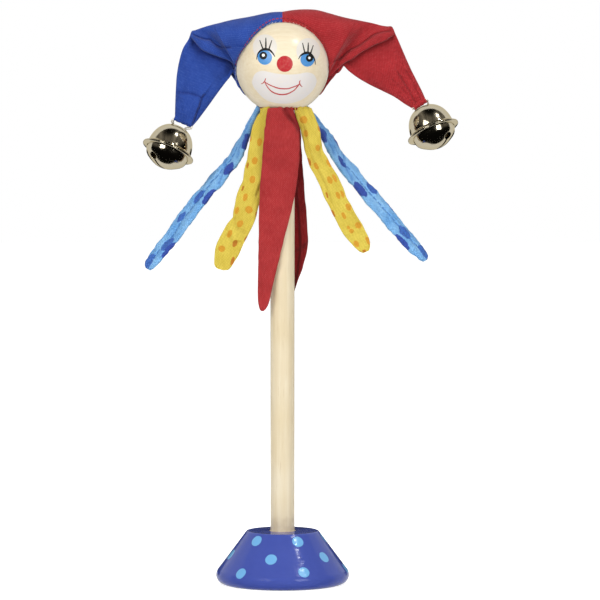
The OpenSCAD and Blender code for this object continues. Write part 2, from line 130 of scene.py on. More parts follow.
def blue_lacquer():
    """Sprayed gloss lacquer on turned wood: deep even blue, hard highlights, faint turning
    rings and orange peel, hand-dabbed dots with soft uneven edges."""
    material, tree = new_material("blue_gloss_lacquer_on_turned_wood")
    place = add(tree, "TexCoord").outputs["Object"]
    wander = add(tree, "TexNoise", {"Vector": place, "Scale": 1 / (2.381 * MM), "Detail": 2})
    nudge = add(tree, "VectorMath", {0: wander.outputs["Color"], 1: (0.5, 0.5, 0.5)}, operation="SUBTRACT")
    shift = add(tree, "VectorMath", {0: nudge, "Scale": DOT_WANDER * MM}, operation="SCALE")
    spot = add(tree, "VectorMath", {0: place, 1: shift}, operation="ADD")
    painted = 0.0
    for height, reach, angles in DOT_ROWS:
        for angle in angles:
            turn = math.radians(angle)
            centre = (reach * MM * math.sin(turn), -reach * MM * math.cos(turn), height * MM)
            away = add(tree, "VectorMath", {0: spot, 1: centre}, operation="DISTANCE")
            dab = add(tree, "MapRange", {
                "Value": away, "From Min": (DOT_RADIUS + DOT_EDGE) * MM,
                "From Max": (DOT_RADIUS - DOT_EDGE) * MM})
            painted = add(tree, "Math", {0: painted, 1: dab}, operation="MAXIMUM")
    cloud = add(tree, "TexNoise", {"Vector": place, "Scale": 1 / (11.11 * MM), "Detail": 3})
    blue = add(tree, "Mix", {0: cloud, 6: srgb(BASE_BLUE), 7: srgb(BASE_BLUE_CLOUD)}, data_type="RGBA")
    dotted = add(tree, "Mix", {0: painted, 6: blue, 7: srgb(BASE_DOT)}, data_type="RGBA")
    # Bare wood shows in the bore and on its bevel, which lie nearer the axis than the lacquer
    flat = add(tree, "VectorMath", {0: place, 1: (1, 1, 0)}, operation="MULTIPLY")
    radius = add(tree, "VectorMath", {0: flat}, operation="LENGTH")
    bore = add(tree, "MapRange", {
        "Value": radius, "From Min": (BORE_RADIUS + 0.1) * MM, "From Max": (BORE_RADIUS - 0.1) * MM})
    height = add(tree, "SeparateXYZ", {0: place}).outputs["Z"]
    above = add(tree, "Math", {0: height, 1: BORE_FLOOR * MM}, operation="GREATER_THAN")
    bare = add(tree, "Math", {0: bore, 1: above}, operation="MULTIPLY")
    colour = add(tree, "Mix", {0: bare, 6: dotted, 7: srgb(BASE_RIM_WOOD)}, data_type="RGBA")
    # Orange peel and turning rings are fine, the wood under them slowly uneven, the dots raised
    peel = add(tree, "TexNoise", {"Vector": place, "Scale": 1 / (1.429 * MM), "Detail": 2})
    level = add(tree, "VectorMath", {0: place, 1: (0.05, 0.05, 1)}, operation="MULTIPLY")
    rings = add(tree, "TexNoise", {"Vector": level, "Scale": 1 / (1.111 * MM), "Detail": 3})
    lumps = add(tree, "TexNoise", {"Vector": place, "Scale": 1 / (3.846 * MM), "Detail": 1})
    fine = add(tree, "Math", {0: peel, 1: rings}, operation="ADD")
    uneven = add(tree, "Math", {0: lumps, 1: 5, 2: fine}, operation="MULTIPLY_ADD")
    relief = add(tree, "Math", {0: painted, 1: 3, 2: uneven}, operation="MULTIPLY_ADD")
    bump = add(tree, "Bump", {"Height": relief, "Strength": 0.5, "Distance": 0.06 * MM})
    gloss = add(tree, "MapRange", {
        "Value": cloud, "From Min": 0.3, "From Max": 0.7, "To Min": 0.12, "To Max": 0.18})
    lacquer = add(tree, "BsdfPrincipled", {
        "Base Color": colour, "Roughness": gloss, "Normal": bump, "IOR": 1.5,
        "Specular IOR Level": 0.12, "Coat Weight": 0.09, "Coat Roughness": 0.05})
    add(tree, "OutputMaterial", {"Surface": lacquer})
    return material


dress("base", blue_lacquer())


# ---- Stick ----
# A length of 12 mm birch dowel, sanded and dipped in clear lacquer, a little rubbed and grey
# near its foot. It stands loose in the base, and its turned tenon is glued into the head.
PALE_WOOD = "#ecdfc3"
WARM_WOOD = "#dfcca4"
WOOD_PORE = "#c9b084"
RUBBED_WOOD = "#b79d74"
# Over how much height the rubbed look comes in
RUBBED_FADE = 9


def clear_lacquered_wood(name, along, ring_pitch, handled=None):
    """Fine pale hardwood under clear lacquer: long soft streaks and short fine pores along the
    grain, a slow change of tone, a low satin shine. `along` is the grain's direction, as the
    share by which the pattern is drawn out on each axis, and `handled` the height in mm below
    which the wood is rubbed."""
    material, tree = new_material(name)
    place = add(tree, "TexCoord").outputs["Object"]
    drawn = add(tree, "VectorMath", {0: place, 1: along}, operation="MULTIPLY")
    streak = add(tree, "TexNoise", {
        "Vector": drawn, "Scale": 1 / (ring_pitch * MM), "Detail": 4, "Roughness": 0.6})
    pores = add(tree, "TexNoise", {
        "Vector": drawn, "Scale": 1 / (0.3846 * MM), "Detail": 2, "Roughness": 0.7})
    cloud = add(tree, "TexNoise", {"Vector": place, "Scale": 1 / (35.71 * MM), "Detail": 2})
    tone = add(tree, "Math", {0: streak, 1: 0.7, 2: cloud}, operation="MULTIPLY_ADD")
    warmth = add(tree, "MapRange", {"Value": tone, "From Min": 0.62, "From Max": 1.1})
    colour = add(tree, "Mix", {0: warmth, 6: srgb(PALE_WOOD), 7: srgb(WARM_WOOD)}, data_type="RGBA")
    open_pore = add(tree, "MapRange", {
        "Value": pores, "From Min": 0.62, "From Max": 0.75, "To Max": 0.55})
    colour = add(tree, "Mix", {0: open_pore, 6: colour, 7: srgb(WOOD_PORE)}, data_type="RGBA")
    if handled:
        height = add(tree, "SeparateXYZ", {0: place}).outputs["Z"]
        low = add(tree, "MapRange", {
            "Value": height, "From Min": handled * MM, "From Max": (handled - RUBBED_FADE) * MM})
        smudge = add(tree, "TexNoise", {"Vector": place, "Scale": 1 / (3.333 * MM), "Detail": 3})
        rubbing_and_painted_shade = add(tree, "Math", {0: low, 1: smudge}, operation="MULTIPLY")
        share = add(tree, "MapRange", {"Value": rubbing_and_painted_shade, "From Min": 0.2, "From Max": 0.75, "To Max": 0.5})
        colour = add(tree, "Mix", {0: share, 6: colour, 7: srgb(RUBBED_WOOD)}, data_type="RGBA")
    fibre = add(tree, "Math", {0: pores, 1: streak}, operation="ADD")
    bump = add(tree, "Bump", {"Height": fibre, "Strength": 0.2, "Distance": 0.05 * MM})
    satin = add(tree, "MapRange", {"Value": streak, "To Min": 0.34, "To Max": 0.5})
    lacquer = add(tree, "BsdfPrincipled", {
        "Base Color": colour, "Roughness": satin, "Normal": bump, "IOR": 1.5, "Coat Weight": 0.25,
        "Coat Roughness": 0.25})
    add(tree, "OutputMaterial", {"Surface": lacquer})
    return material


dress("stick", clear_lacquered_wood("clear_lacquered_birch_dowel", (1, 1, 0.035), 1.6, handled=38))


# ---- Head ----
# A 46 mm ball turned from birch with its grain lying level, flattened underneath where the
# stick enters. The face is stamped on in thin ink, layer on layer, under the clear lacquer.
HEAD_CENTRE = Vector((0, 0, 257.533))
HEAD_RADIUS = 23.0
FACE_MIDDLE = (0.5, 0.45)
dress("head", clear_lacquered_wood("clear_lacquered_birch_ball", (0.05, 1, 1), 1.3))


def curve(rows, at):
    """The smooth curve through rows of numbers, at each place in `at` counted in rows."""
    rows = np.asarray(rows, float)
    at = np.clip(np.asarray(at, float), 0, len(rows) - 1)
    low = np.minimum(at.astype(int), len(rows) - 2)
    share = (at - low)[:, None]
    before, first = rows[np.maximum(low - 1, 0)], rows[low]
    second, after = rows[low + 1], rows[np.minimum(low + 2, len(rows) - 1)]
    return 0.5 * (2 * first + (second - before) * share
                  + (2 * before - 5 * first + 4 * second - after) * share ** 2
                  + (3 * first - before - 3 * second + after) * share ** 3)


def object_from(name, points, faces, material, uvs=None):
    """A mesh object from points in mm. uvs, in mm, has one pair for each point."""
    mesh = bpy.data.meshes.new(name)
    places = [tuple(p) for p in np.asarray(points) * MM]
    mesh.from_pydata(places, [], [tuple(int(i) for i in f) for f in faces])
    if uvs is not None:
        layer = mesh.uv_layers.new(name="cloth")
        for loop in mesh.loops:
            layer.data[loop.index].uv = np.asarray(uvs[loop.vertex_index]) * MM
    mesh.materials.append(material)
    for face in mesh.polygons:
        face.use_smooth = True
    mesh.update()
    made = bpy.data.objects.new(name, mesh)
    scene.collection.objects.link(made)
    return made


def on_ball(x, z, lift):
    """The point of the ball's front that lies x to the side of the face's middle and z above it."""
    radius = HEAD_RADIUS + lift
    x, z = x + FACE_MIDDLE[0], z + FACE_MIDDLE[1]
    return HEAD_CENTRE + Vector((x, -math.sqrt(max(radius * radius - x * x - z * z, 0)), z))


def ink_patch(name, outline, lift, material, rings=14, steps=8):
    """A filled patch of ink on the ball. The outline, in mm from the face's middle, is closed
    and every point of it can be seen from its own middle."""
    closed = [*outline, *outline[:3]]
    edge = curve(closed, np.arange(0, len(outline), 1 / steps) + 1)
    middle = edge.mean(axis=0)
    points = [on_ball(*middle, lift)]
    for ring in range(1, rings + 1):
        points += [on_ball(*(middle + (p - middle) * ring / rings), lift) for p in edge]
    n = len(edge)
    faces = [(0, 1 + (k + 1) % n, 1 + k) for k in range(n)]
    for ring in range(rings - 1):
        a, b = 1 + ring * n, 1 + (ring + 1) * n
        faces += [(a + k, a + (k + 1) % n, b + (k + 1) % n, b + k) for k in range(n)]
    patch = object_from(name, points, faces, material)
    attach(patch, "stick")
    return patch


def ink_line(name, rows, lift, material, steps=8):
    """A brush line of ink on the ball. Each row is x, z and the line's width there."""
    fine = curve(rows, np.linspace(0, len(rows) - 1, (len(rows) - 1) * steps + 1))
    way = np.gradient(fine[:, :2], axis=0)
    way /= np.linalg.norm(way, axis=1)[:, None]
    side = np.stack([-way[:, 1], way[:, 0]], axis=1) * fine[:, 2:3] / 2
    points = []
    for p, s in zip(fine[:, :2], side):
        points += [on_ball(*(p + s * k), lift) for k in (1, 0.34, -0.34, -1)]
    faces = [(4 * i + k, 4 * i + k + 1, 4 * i + k + 5, 4 * i + k + 4)
             for i in range(len(fine) - 1) for k in range(3)]
    line = object_from(name, points, faces, material)
    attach(line, "stick")
    return line


def oval(x, z, half_width, half_height, lean=0, count=16):
    """The outline of an oval, leaning by some degrees."""
    turn = math.radians(lean)
    rows = []
    for k in range(count):
        angle = 2 * math.pi * k / count
        a, b = half_width * math.cos(angle), half_height * math.sin(angle)
        rows.append((x + a * math.cos(turn) - b * math.sin(turn),
                     z + a * math.sin(turn) + b * math.cos(turn)))
    return rows


def stamped_ink(name, colour, thin, rough=0.3):
    """Pad-printed ink under clear lacquer: an even film that dries a little thin in places,
    where the pale wood shows through, with the same low shine as the ball."""
    material, tree = new_material(name)
    place = add(tree, "TexCoord").outputs["Object"]
    film = add(tree, "TexNoise", {"Vector": place, "Scale": 1 / (1.429 * MM), "Detail": 4})
    worn = add(tree, "MapRange", {"Value": film, "From Min": 0.45, "From Max": 0.75, "To Max": thin})
    shade = add(tree, "Mix", {0: worn, 6: srgb(colour), 7: srgb(PALE_WOOD)}, data_type="RGBA")
    bump = add(tree, "Bump", {"Height": film, "Strength": 0.15, "Distance": 0.03 * MM})
    ink = add(tree, "BsdfPrincipled", {
        "Base Color": shade, "Roughness": rough, "Normal": bump, "IOR": 1.5,
        "Specular IOR Level": 0.3, "Coat Weight": 0.1, "Coat Roughness": 0.25})
    add(tree, "OutputMaterial", {"Surface": ink})
    return material


white_ink = stamped_ink("white_ink_on_wood", "#e0dbd8", 0.22)
thin_white_ink = stamped_ink("thin_white_ink_on_wood", "#dcd6ce", 0.22)
black_ink = stamped_ink("black_ink_on_wood", "#0a0807", 0.0, 0.5)
lash_ink = stamped_ink("thin_black_ink_on_wood", "#221c18", 0.12, 0.5)
iris_ink = stamped_ink("sky_blue_ink_on_wood", "#4489c8", 0.06)
nose_ink = stamped_ink("red_ink_on_wood", "#b72c32", 0.08)
lip_ink = stamped_ink("thin_red_ink_on_wood", "#b93a3c", 0.15)
gleam_ink = stamped_ink("bright_white_ink_on_wood", "#fbfaf8", 0.0)

ink_patch("eye_white_left", oval(-9.1, 9.5, 5.95, 6.2), 0.02, thin_white_ink)
ink_patch("eye_white_right", oval(12.2, 7.7, 5.9, 6.2, 6), 0.02, thin_white_ink)
ink_patch("mouth_white", [
    (-15.3, -6.6), (-13.6, -3.3), (-10.2, -2.1), (-5, -3.1), (0.6, -3.8), (6.5, -3.7), (11.5, -2.9),
    (14.9, -4), (16.3, -7.4), (14.6, -11.6), (10.4, -15.6), (5.6, -17.7), (0.3, -18.4), (-4.9, -17.8),
    (-9.5, -15.9), (-13.3, -12), (-15.1, -9.2)], 0.02, white_ink)
ink_patch("nose", oval(0.65, 1.35, 3.95, 3.95, count=20), 0.05, nose_ink)
EYES = {
    "left": {
        "iris": (-9.15, 4.45, 3.55), "pupil": (-9.9, 5.4, 1.9), "gleam": (-9.9, 5.55, 0.72),
        "lid": [(-13.2, 3.4, 0.3), (-12.7, 5.9, 0.55), (-11.8, 7.2, 0.85), (-10.4, 8.15, 1.15),
                (-8.6, 8.5, 1.3), (-6.7, 7.95, 1.05), (-5.3, 6.6, 0.75), (-4.1, 4.8, 0.3)],
        "lashes": [((-10.0, 8.4), (-11.7, 12.9)), ((-8.65, 8.6), (-8.65, 14.1)),
                   ((-7.2, 8.3), (-5.7, 12.9))],
    },
    "right": {
        "iris": (11.8, 3.4, 3.45), "pupil": (12.8, 4.1, 1.8), "gleam": (12.75, 4.2, 0.62),
        "lid": [(7.35, 3.6, 0.3), (8.2, 5.1, 0.6), (9.5, 6.1, 0.95), (11.1, 6.65, 1.25), (12.5, 6.6, 1.2),
                (13.8, 5.7, 0.95), (14.9, 4.3, 0.7), (15.5, 2.7, 0.5), (15.7, 0.9, 0.25)],
        "lashes": [((10.5, 6.8), (9.35, 11.6)), ((12.05, 6.9), (12.25, 11.7)),
                   ((13.4, 6.6), (14.7, 10.4))],
    },
}
for side, eye in EYES.items():
    for spot, lift, ink, rings in (("iris", 0.04, iris_ink, 14), ("pupil", 0.06, black_ink, 8),
                                   ("gleam", 0.08, gleam_ink, 4)):
        x, z, radius = eye[spot]
        ink_patch(f"{spot}_{side}", oval(x, z, radius, radius), lift, ink, rings)
    ink_line(f"lid_{side}", eye["lid"], 0.06, black_ink)
    for k, (root, tip) in enumerate(eye["lashes"]):
        middle = ((root[0] + tip[0]) / 2, (root[1] + tip[1]) / 2, 0.75 if k == 1 else 0.6)
        ink_line(f"lash_{side}_{k}", [(*root, 0.8), middle, (*tip, 0.4)], 0.05, lash_ink)
MOUTH_LINES = {
    "lip_upper": (0.05, [
        (-9.3, -7.45, 0.35), (-7.4, -8.7, 0.5), (-5.1, -9.75, 0.55), (-2.6, -10.6, 0.6), (-0.1, -10.9, 0.6),
        (2.2, -10.85, 0.6), (4.1, -10.3, 0.55), (6.3, -9.5, 0.5), (8.1, -8.4, 0.35)]),
    "lip_lower": (0.055, [
        (-9.3, -7.45, 0.35), (-8.15, -9.6, 0.5), (-6.8, -11.4, 0.55), (-5.1, -12.7, 0.6), (-3, -13.5, 0.65),
        (-0.85, -13.8, 0.65), (1.4, -13.6, 0.65), (3.35, -12.8, 0.6), (5.3, -11.6, 0.55), (6.8, -9.95, 0.5),
        (8.1, -8.4, 0.35)]),
    "smile_end_left": (0.06, [(-11, -8.6, 0.3), (-9.9, -8, 0.5), (-9.2, -7.1, 0.55), (-8.7, -5.75, 0.3)]),
    "smile_end_right": (0.06, [(8.3, -6.7, 0.3), (7.9, -7.7, 0.5), (8.2, -8.9, 0.55), (9.3, -10.1, 0.3)]),
}
for name, (lift, rows) in MOUTH_LINES.items():
    ink_line(name, rows, lift, lip_ink)


# ---- Hat ----
# A cotton jester's hat, blue on the left and red on the right, seamed down the middle of the
# brow and along each horn's ridge, hemmed round the face and glued to the ball. Each horn
# flops over at a soft fold and hangs from there.
SIDE = {"left": -1, "right": 1}
CLOTH_THICKNESS = 0.6
# Each column of cloth is given where it meets the ridge and where it meets the front hem or
# lower seam, with its middle if it isn't straight; x is outward from the ball's centre and z
# is up from it
HAT_COLUMNS = {
    "left": [
        ((0, 27.2), (0, 22.4)), ((5, 27.0), (5.7, 21.5)), ((10, 26.1), (10.6, 18.7)),
        ((15, 25.0), (14.5, 15)), ((19.5, 24.2), (16.9, 12.05)), ((24, 23.4), (19.2, 9.2)),
        ((28, 22.5), (21, 6.5)), ((31, 21.7), (22.2, 3.8)), ((34, 21.0), (23.05, 0.85), (28.5, 10.9)),
        ((37, 20.2), (23.35, -2.7), (27.5, 8.6)), ((39.5, 19.4), (22.4, -7), (26.4, 6.6)),
        ((41.5, 18.7), (20.7, -10.8), (25.9, 5)), ((43.2, 18.1), (22.7, -6.3), (28, 4.9)),
        ((45, 17.4), (23.9, -1.8), (32.3, 5.4)), ((46.5, 13.6), (26.1, -5.25), (35, 1.8)),
        ((49.25, 9.0), (28.5, -8.2)), ((51.1, 2.9), (31.5, -12.2)), ((52.35, -4.25), (35.3, -17.5)),
        ((52.85, -11.4), (38.6, -22)), ((53.15, -18.5), (42, -26.5)), ((53.35, -25.15), (44.65, -29.5))],
    "right": [
        ((0, 27.2), (0, 22.4)), ((5, 28.0), (7, 21.9)), ((10.65, 28.4), (12, 19.7)),
        ((16.75, 28.1), (16.2, 16.5)), ((22.9, 26.55), (19.3, 12.9)), ((28, 25.1), (21.5, 8.8)),
        ((32.5, 24), (22.7, 4.5)), ((36.5, 23.2), (23.2, 0.5), (29.9, 11.9)),
        ((40, 22.5), (23.2, -3.5), (29.8, 9.8)), ((43, 21.9), (22.7, -6.2), (29.3, 7.9)),
        ((46, 21.2), (21.4, -9.6), (29.6, 6.4)), ((49, 20.4), (24.3, -4.9), (33, 6.2)),
        ((51.7, 20), (26.95, -3.25), (36.8, 7)), ((54.3, 19.7), (29.5, 0.65), (41, 8.3)),
        ((56, 16.15), (33, -2.3)), ((58.3, 11), (37.5, -5.6)), ((61, 4.7), (43, -8.8)),
        ((63.9, -1.7), (49.5, -12)), ((66.25, -6.3), (55.5, -15)), ((69.3, -12.4), (60.65, -18.5)),
        ((71.0, -16.3), (64.8, -20.9))],
}
# The column where the front hem ends and the horn's lower seam begins, and the fold's column
HAT_CORNER = {"left": 11, "right": 10}
FOLD_COLUMN = 13
# The first fold is a pressed crease, the second the edge that the hanging part tucks under
FOLD_CREASE = {
    "left": [(46.5, 17.2), (44.8, 16.1), (41.2, 14.6), (38.6, 13.7), (36.1, 13.5), (34.6, 12.4), (33.1, 11),
             (31, 9.7), (28.4, 9.5), (25.9, 9.7)],
    "right": [(56, 19.5), (53.9, 17.9), (50.9, 17.6), (48.4, 17), (45.4, 15.9), (41.2, 12.9), (37.3, 10.3),
              (33.4, 8.4), (30.8, 6.2), (28.9, 4.3), (27.9, 3.7)],
}
FOLD_EDGE = {
    "left": [(47, 16), (44.1, 13.2), (40.8, 9.2), (37.2, 7), (32.5, 5.2), (26.3, 3), (23.9, 0.85),
             (22, -1)],
    "right": [(56.5, 16.5), (53.5, 14.6), (50.9, 12.9), (46.1, 10.95), (41.2, 8.4), (37.9, 6.5),
              (34.7, 3.7), (31.5, 2.4), (29.8, 1.1), (27, -1.5)],
}
# How deep each side's fold is pressed: crease, roll between the two lines, tuck under the second
FOLD_DEPTH = {"left": (0.9, 1.3, 4.4), "right": (0.5, 0.9, 2.6)}
# Creases towards the tips: the line, how far the cloth past it drops back, the crease's depth
TIP_CREASES = {
    "left": [([(53.8, -12.2), (49, -12.9), (46, -13.1), (42.6, -14), (40.2, -15.4)], -0.5, 0.7),
             ([(38.6, -13.6), (39.9, -15.5), (41.2, -19.5), (43.2, -24.6), (44.6, -29)], -1.3, 0.7)],
    "right": [([(57.4, -3.4), (59.4, -6.4), (62, -10.5), (64.6, -15.4), (66.4, -18.6)], 0.7, 0.4),
              ([(61.4, -2), (63.6, -5.6), (66, -10.4), (68.2, -15.4)], -0.6, 0.35),
              ([(54.6, -6.6), (56.6, -8.6), (60.4, -12.4), (63.2, -16.6)], 0.4, 0.2)],
}
# How far from the ball's centre the front hem lies, and the nape's hem: its radius, how far it
# lies below the centre, and how far round it each side of the hat reaches, in degrees
HEM_REACH = 23.5
NAPE_RADIUS, NAPE_DROP, NAPE_TURN = 18.5, 14.2, 96
# How far the middle of each column stands out before and behind, from the brow seam outwards
FRONT_BULGE = (0.3, 0.8, 1.5, 2.5, 3.5, 4.2, 4.8, 5.0)
BACK_BULGE = (8, 7.5, 7, 6, 5, 4, 3.5, 3.5, 3.8, 4.2, 4.5, 4.6, 4.6, 4.6)
WHITE = "#ffffff"
# The weave's pitch and how far its threads stray, and the height of the stitching over the hem
THREAD_PITCH = 1
THREAD_WANDER = 0.22
STITCH_LINE = 2.1


def past_line(x, z, line):
    """How far each point lies past a line, on its outer, lower side: less than 0 before it."""
    line = curve(line, np.linspace(0, len(line) - 1, 4 * len(line)))
    best, signed = np.full(x.shape, 1e9), np.zeros(x.shape)
    for (ax, az), (bx, bz) in zip(line[:-1], line[1:]):
        dx, dz = bx - ax, bz - az
        along = np.clip(((x - ax) * dx + (z - az) * dz) / (dx * dx + dz * dz), 0, 1)
        away = np.hypot(x - ax - along * dx, z - az - along * dz)
        nearer = away < best
        best = np.where(nearer, away, best)
        signed = np.where(nearer, away * np.sign(dx * (z - az) - dz * (x - ax)), signed)
    return signed


def soft_noise(points, scale, seed):
    """Smooth noise from about -1 to 1 at each point, its lumps `scale` mm across."""
    return np.array([noise.noise(Vector(p) / scale + Vector((seed, 7 * seed, 0))) for p in points])


def groove(away, width):
    """The share of a narrow groove's depth at each distance from its middle."""
    return np.exp(-((away / width) ** 2))


def drop(away, width, reach):
    """The share of a step down past a line, which evens out again over `reach` mm."""
    return np.clip(away / width + 0.5, 0, 1) * np.exp(-np.maximum(away, 0) / reach)


def run_along(path):
    """How far each point of a path lies from its start, measured along it."""
    return np.concatenate([[0], np.cumsum(np.linalg.norm(np.diff(np.asarray(path), axis=0), axis=1))])


def fold_relief(side, x, z):
    """How far the folds and creases at a horn's front push each point back, in mm, and how much
    painted shade they lay on it, from 0 to 1."""
    crease, roll, tuck = FOLD_DEPTH[side]
    first, second = past_line(x, z, FOLD_CREASE[side]), past_line(x, z, FOLD_EDGE[side])
    between = np.clip(first / np.maximum(first - second, 0.1), 0, 1)
    rolled = np.sin(np.pi * between) ** 0.7 * (first > 0) * (second < 0)
    back = crease * groove(first, 0.5) - roll * rolled + tuck * drop(second, 0.35, 6.5)
    # Painted shade: a dark line in the crease and a painted shadow fading away below the fold's edge
    dark = 0.9 * groove(first, 0.45) + 1.1 * (second > 0) * np.exp(-second / (1.1 * tuck))
    for line, step, depth in TIP_CREASES[side]:
        away = past_line(x, z, line)
        back += depth * groove(away, 0.5) + step * drop(away, 0.4, 5)
        # Each tip crease gets a dark line of painted shade too
        dark = np.maximum(dark, groove(away, 0.5) * min(1, 1.4 * depth ** 1.3))
    return back, dark


def panel_edges(side, at, back):
    """A panel's ridge and its hem or lower seam at each column, as the x and z of both, the y of
    the lower one, and the bow of the cloth between them."""
    columns, corner = HAT_COLUMNS[side], HAT_CORNER[side]
    top, low = (curve([column[k] for column in columns], at) for k in (0, 1))
    bows = [np.array(c[2]) - (np.array(c[0]) + c[1]) / 2 if len(c) > 2 else (0, 0) for c in columns]
    bow = curve(bows, at)
    # The front hem lies near the ball, or leans forward where the brow is low
    on_rim = np.sqrt(np.maximum(HEM_REACH ** 2 - low[:, 0] ** 2 - low[:, 1] ** 2, 0))
    lean = 4.05 + 0.158 * low[:, 1]
    # It passes behind the ball's side at the corner, where the horn's lower seam begins
    wrapped = np.interp(at, (corner - 3, corner - 2, corner - 1, corner, corner + 1, FOLD_COLUMN),
                        (-5.1, -3.0, 0.4, 2.6, 1.2, 0))
    low_y = np.where(at < corner - 3, -np.maximum(on_rim, lean), wrapped)
    if back:
        turn = np.radians(NAPE_TURN * np.clip(at / corner, 0, 1))
        nape = np.stack([NAPE_RADIUS * np.sin(turn), np.full(len(at), -NAPE_DROP)], axis=1)
        low = np.where((at < corner)[:, None], nape, low)
        low_y = np.where(at < corner, NAPE_RADIUS * np.cos(turn), low_y)
        bow = bow * np.clip((at - corner) / 2, 0, 1)[:, None]
    return top, low, low_y, bow


def hat_panel(side, at, back):
    """One side's front or back panel as a grid of points, columns by rows, from seam to ridge,
    and how much painted shade each point gets in its creases and under its folds."""
    corner, outward = HAT_CORNER[side], SIDE[side]
    rows = 44 if back else 104
    t = (0.5 - 0.5 * np.cos(np.pi * np.linspace(0, 1, rows)))[None, :]
    middle = 4 * t * (1 - t)
    top, low, low_y, bow = panel_edges(side, at, back)
    bulge = np.interp(at, range(len(BACK_BULGE)), BACK_BULGE) if back else -np.interp(
        at, range(len(FRONT_BULGE)), FRONT_BULGE)
    bulge = bulge * np.interp(at, (FOLD_COLUMN, 16, 18, len(HAT_COLUMNS[side]) - 1), (1, 0.85, 0.6, 0.3))
    flat = (low[:, None, :] * (1 - t)[..., None] + top[:, None, :] * t[..., None]
            + bow[:, None, :] * middle[..., None])
    y = low_y[:, None] * np.sqrt(1 - t * t) + bulge[:, None] * middle ** 0.6
    x, z = flat[..., 0], flat[..., 1]
    dark = np.zeros(x.shape)
    if not back:
        pushed, dark = (part * np.clip(3 * middle, 0, 1) for part in fold_relief(side, x, z))
        y = y + pushed
    points = np.stack([outward * x, y, z], axis=-1).reshape(-1, 3)
    # Stiff cotton buckles in long shallow waves, more of them on the loose horn than on the ball
    loose = np.clip((np.repeat(at, rows) - 6) / 5, 0.15, 1)
    wave = soft_noise(points * (1, 0.6, 1), 9, 3 + outward) + 0.4 * soft_noise(points, 4, 8 + outward)
    edge = np.tile(np.clip(4 * middle, 0, 1)[0], len(at))
    points[:, 1] += (0.8 if back else 0.6) * wave * loose * edge
    # It lies on the ball wherever it reaches it, its hem drawn down tight. A column is taken to
    # be 20 mm long.
    from_edge = np.tile(t[0] * 20, len(at))
    least = HEAD_RADIUS + 0.78 - 0.56 * np.exp(-from_edge / 0.8)
    away = np.linalg.norm(points, axis=1)
    tight = np.exp(-from_edge / 1.5) * np.repeat(at < corner + 0.3, rows)
    reach = np.where(away > least, least * tight + away * (1 - tight), least)
    points *= (reach / away)[:, None]
    return points.reshape(len(at), rows, 3), dark.reshape(-1)


def hat_side(side, material):
    """Front and back panels of one side, joined along the ridge and under the horn."""
    columns = len(HAT_COLUMNS[side]) - 1
    at = np.sort(np.concatenate([
        np.linspace(0, columns, 210), np.linspace(FOLD_COLUMN - 2.2, FOLD_COLUMN + 2, 90)]))
    (front, painted_crease_shade), (back, smooth) = hat_panel(side, at, False), hat_panel(side, at, True)
    n, rows_f, rows_b = len(at), front.shape[1], back.shape[1]
    run = run_along(front[:, rows_f // 2])
    up = [run_along(column) for panel in (front, back) for column in panel]
    # The back's cloth is laid out beside the front's, 200 mm along
    uvs = np.stack([np.concatenate([np.repeat(run, rows_f), np.repeat(run, rows_b) + 200]),
                    np.concatenate(up)], axis=1)
    points = np.concatenate([front.reshape(-1, 3), back.reshape(-1, 3)]) + HEAD_CENTRE
    faces = []
    for start, rows in ((0, rows_f), (n * rows_f, rows_b)):
        turned = (start == 0) == (side == "right")
        for i in range(n - 1):
            for k in range(rows - 1):
                a, b = start + i * rows + k, start + (i + 1) * rows + k
                quad = (a, b, b + 1, a + 1)
                faces.append(quad if turned else quad[::-1])
    cloth = object_from(f"hat_{side}_cloth", points, faces, material, uvs)
    # Only the face opening is hemmed and stitched
    hemmed = np.repeat((at < HAT_CORNER[side] - 0.1).astype(float), rows_f)
    mark(cloth, "hemmed", np.concatenate([hemmed, np.zeros(n * rows_b)]))
    # Painted shade in the creases and under the folds, read by the cloth's material
    mark(cloth, "painted_crease_shade", np.concatenate([painted_crease_shade, smooth]))
    work = bmesh.new()
    work.from_mesh(cloth.data)
    bmesh.ops.remove_doubles(work, verts=work.verts, dist=0.03 * MM)
    work.to_mesh(cloth.data)
    work.free()
    thick = cloth.modifiers.new("cloth_thickness", "SOLIDIFY")
    thick.thickness, thick.offset = CLOTH_THICKNESS * MM, -1
    finished(cloth)
    return cloth


def mark(made, name, values):
    """Gives each point of an object a value that its material reads by name."""
    made.data.attributes.new(name, "FLOAT", "POINT").data.foreach_set("value", values)


def finished(made):
    """Turns an object's modifiers into mesh."""
    bpy.context.view_layer.update()
    ready = bpy.data.meshes.new_from_object(made.evaluated_get(bpy.context.evaluated_depsgraph_get()))
    made.modifiers.clear()
    made.data = ready
    return made


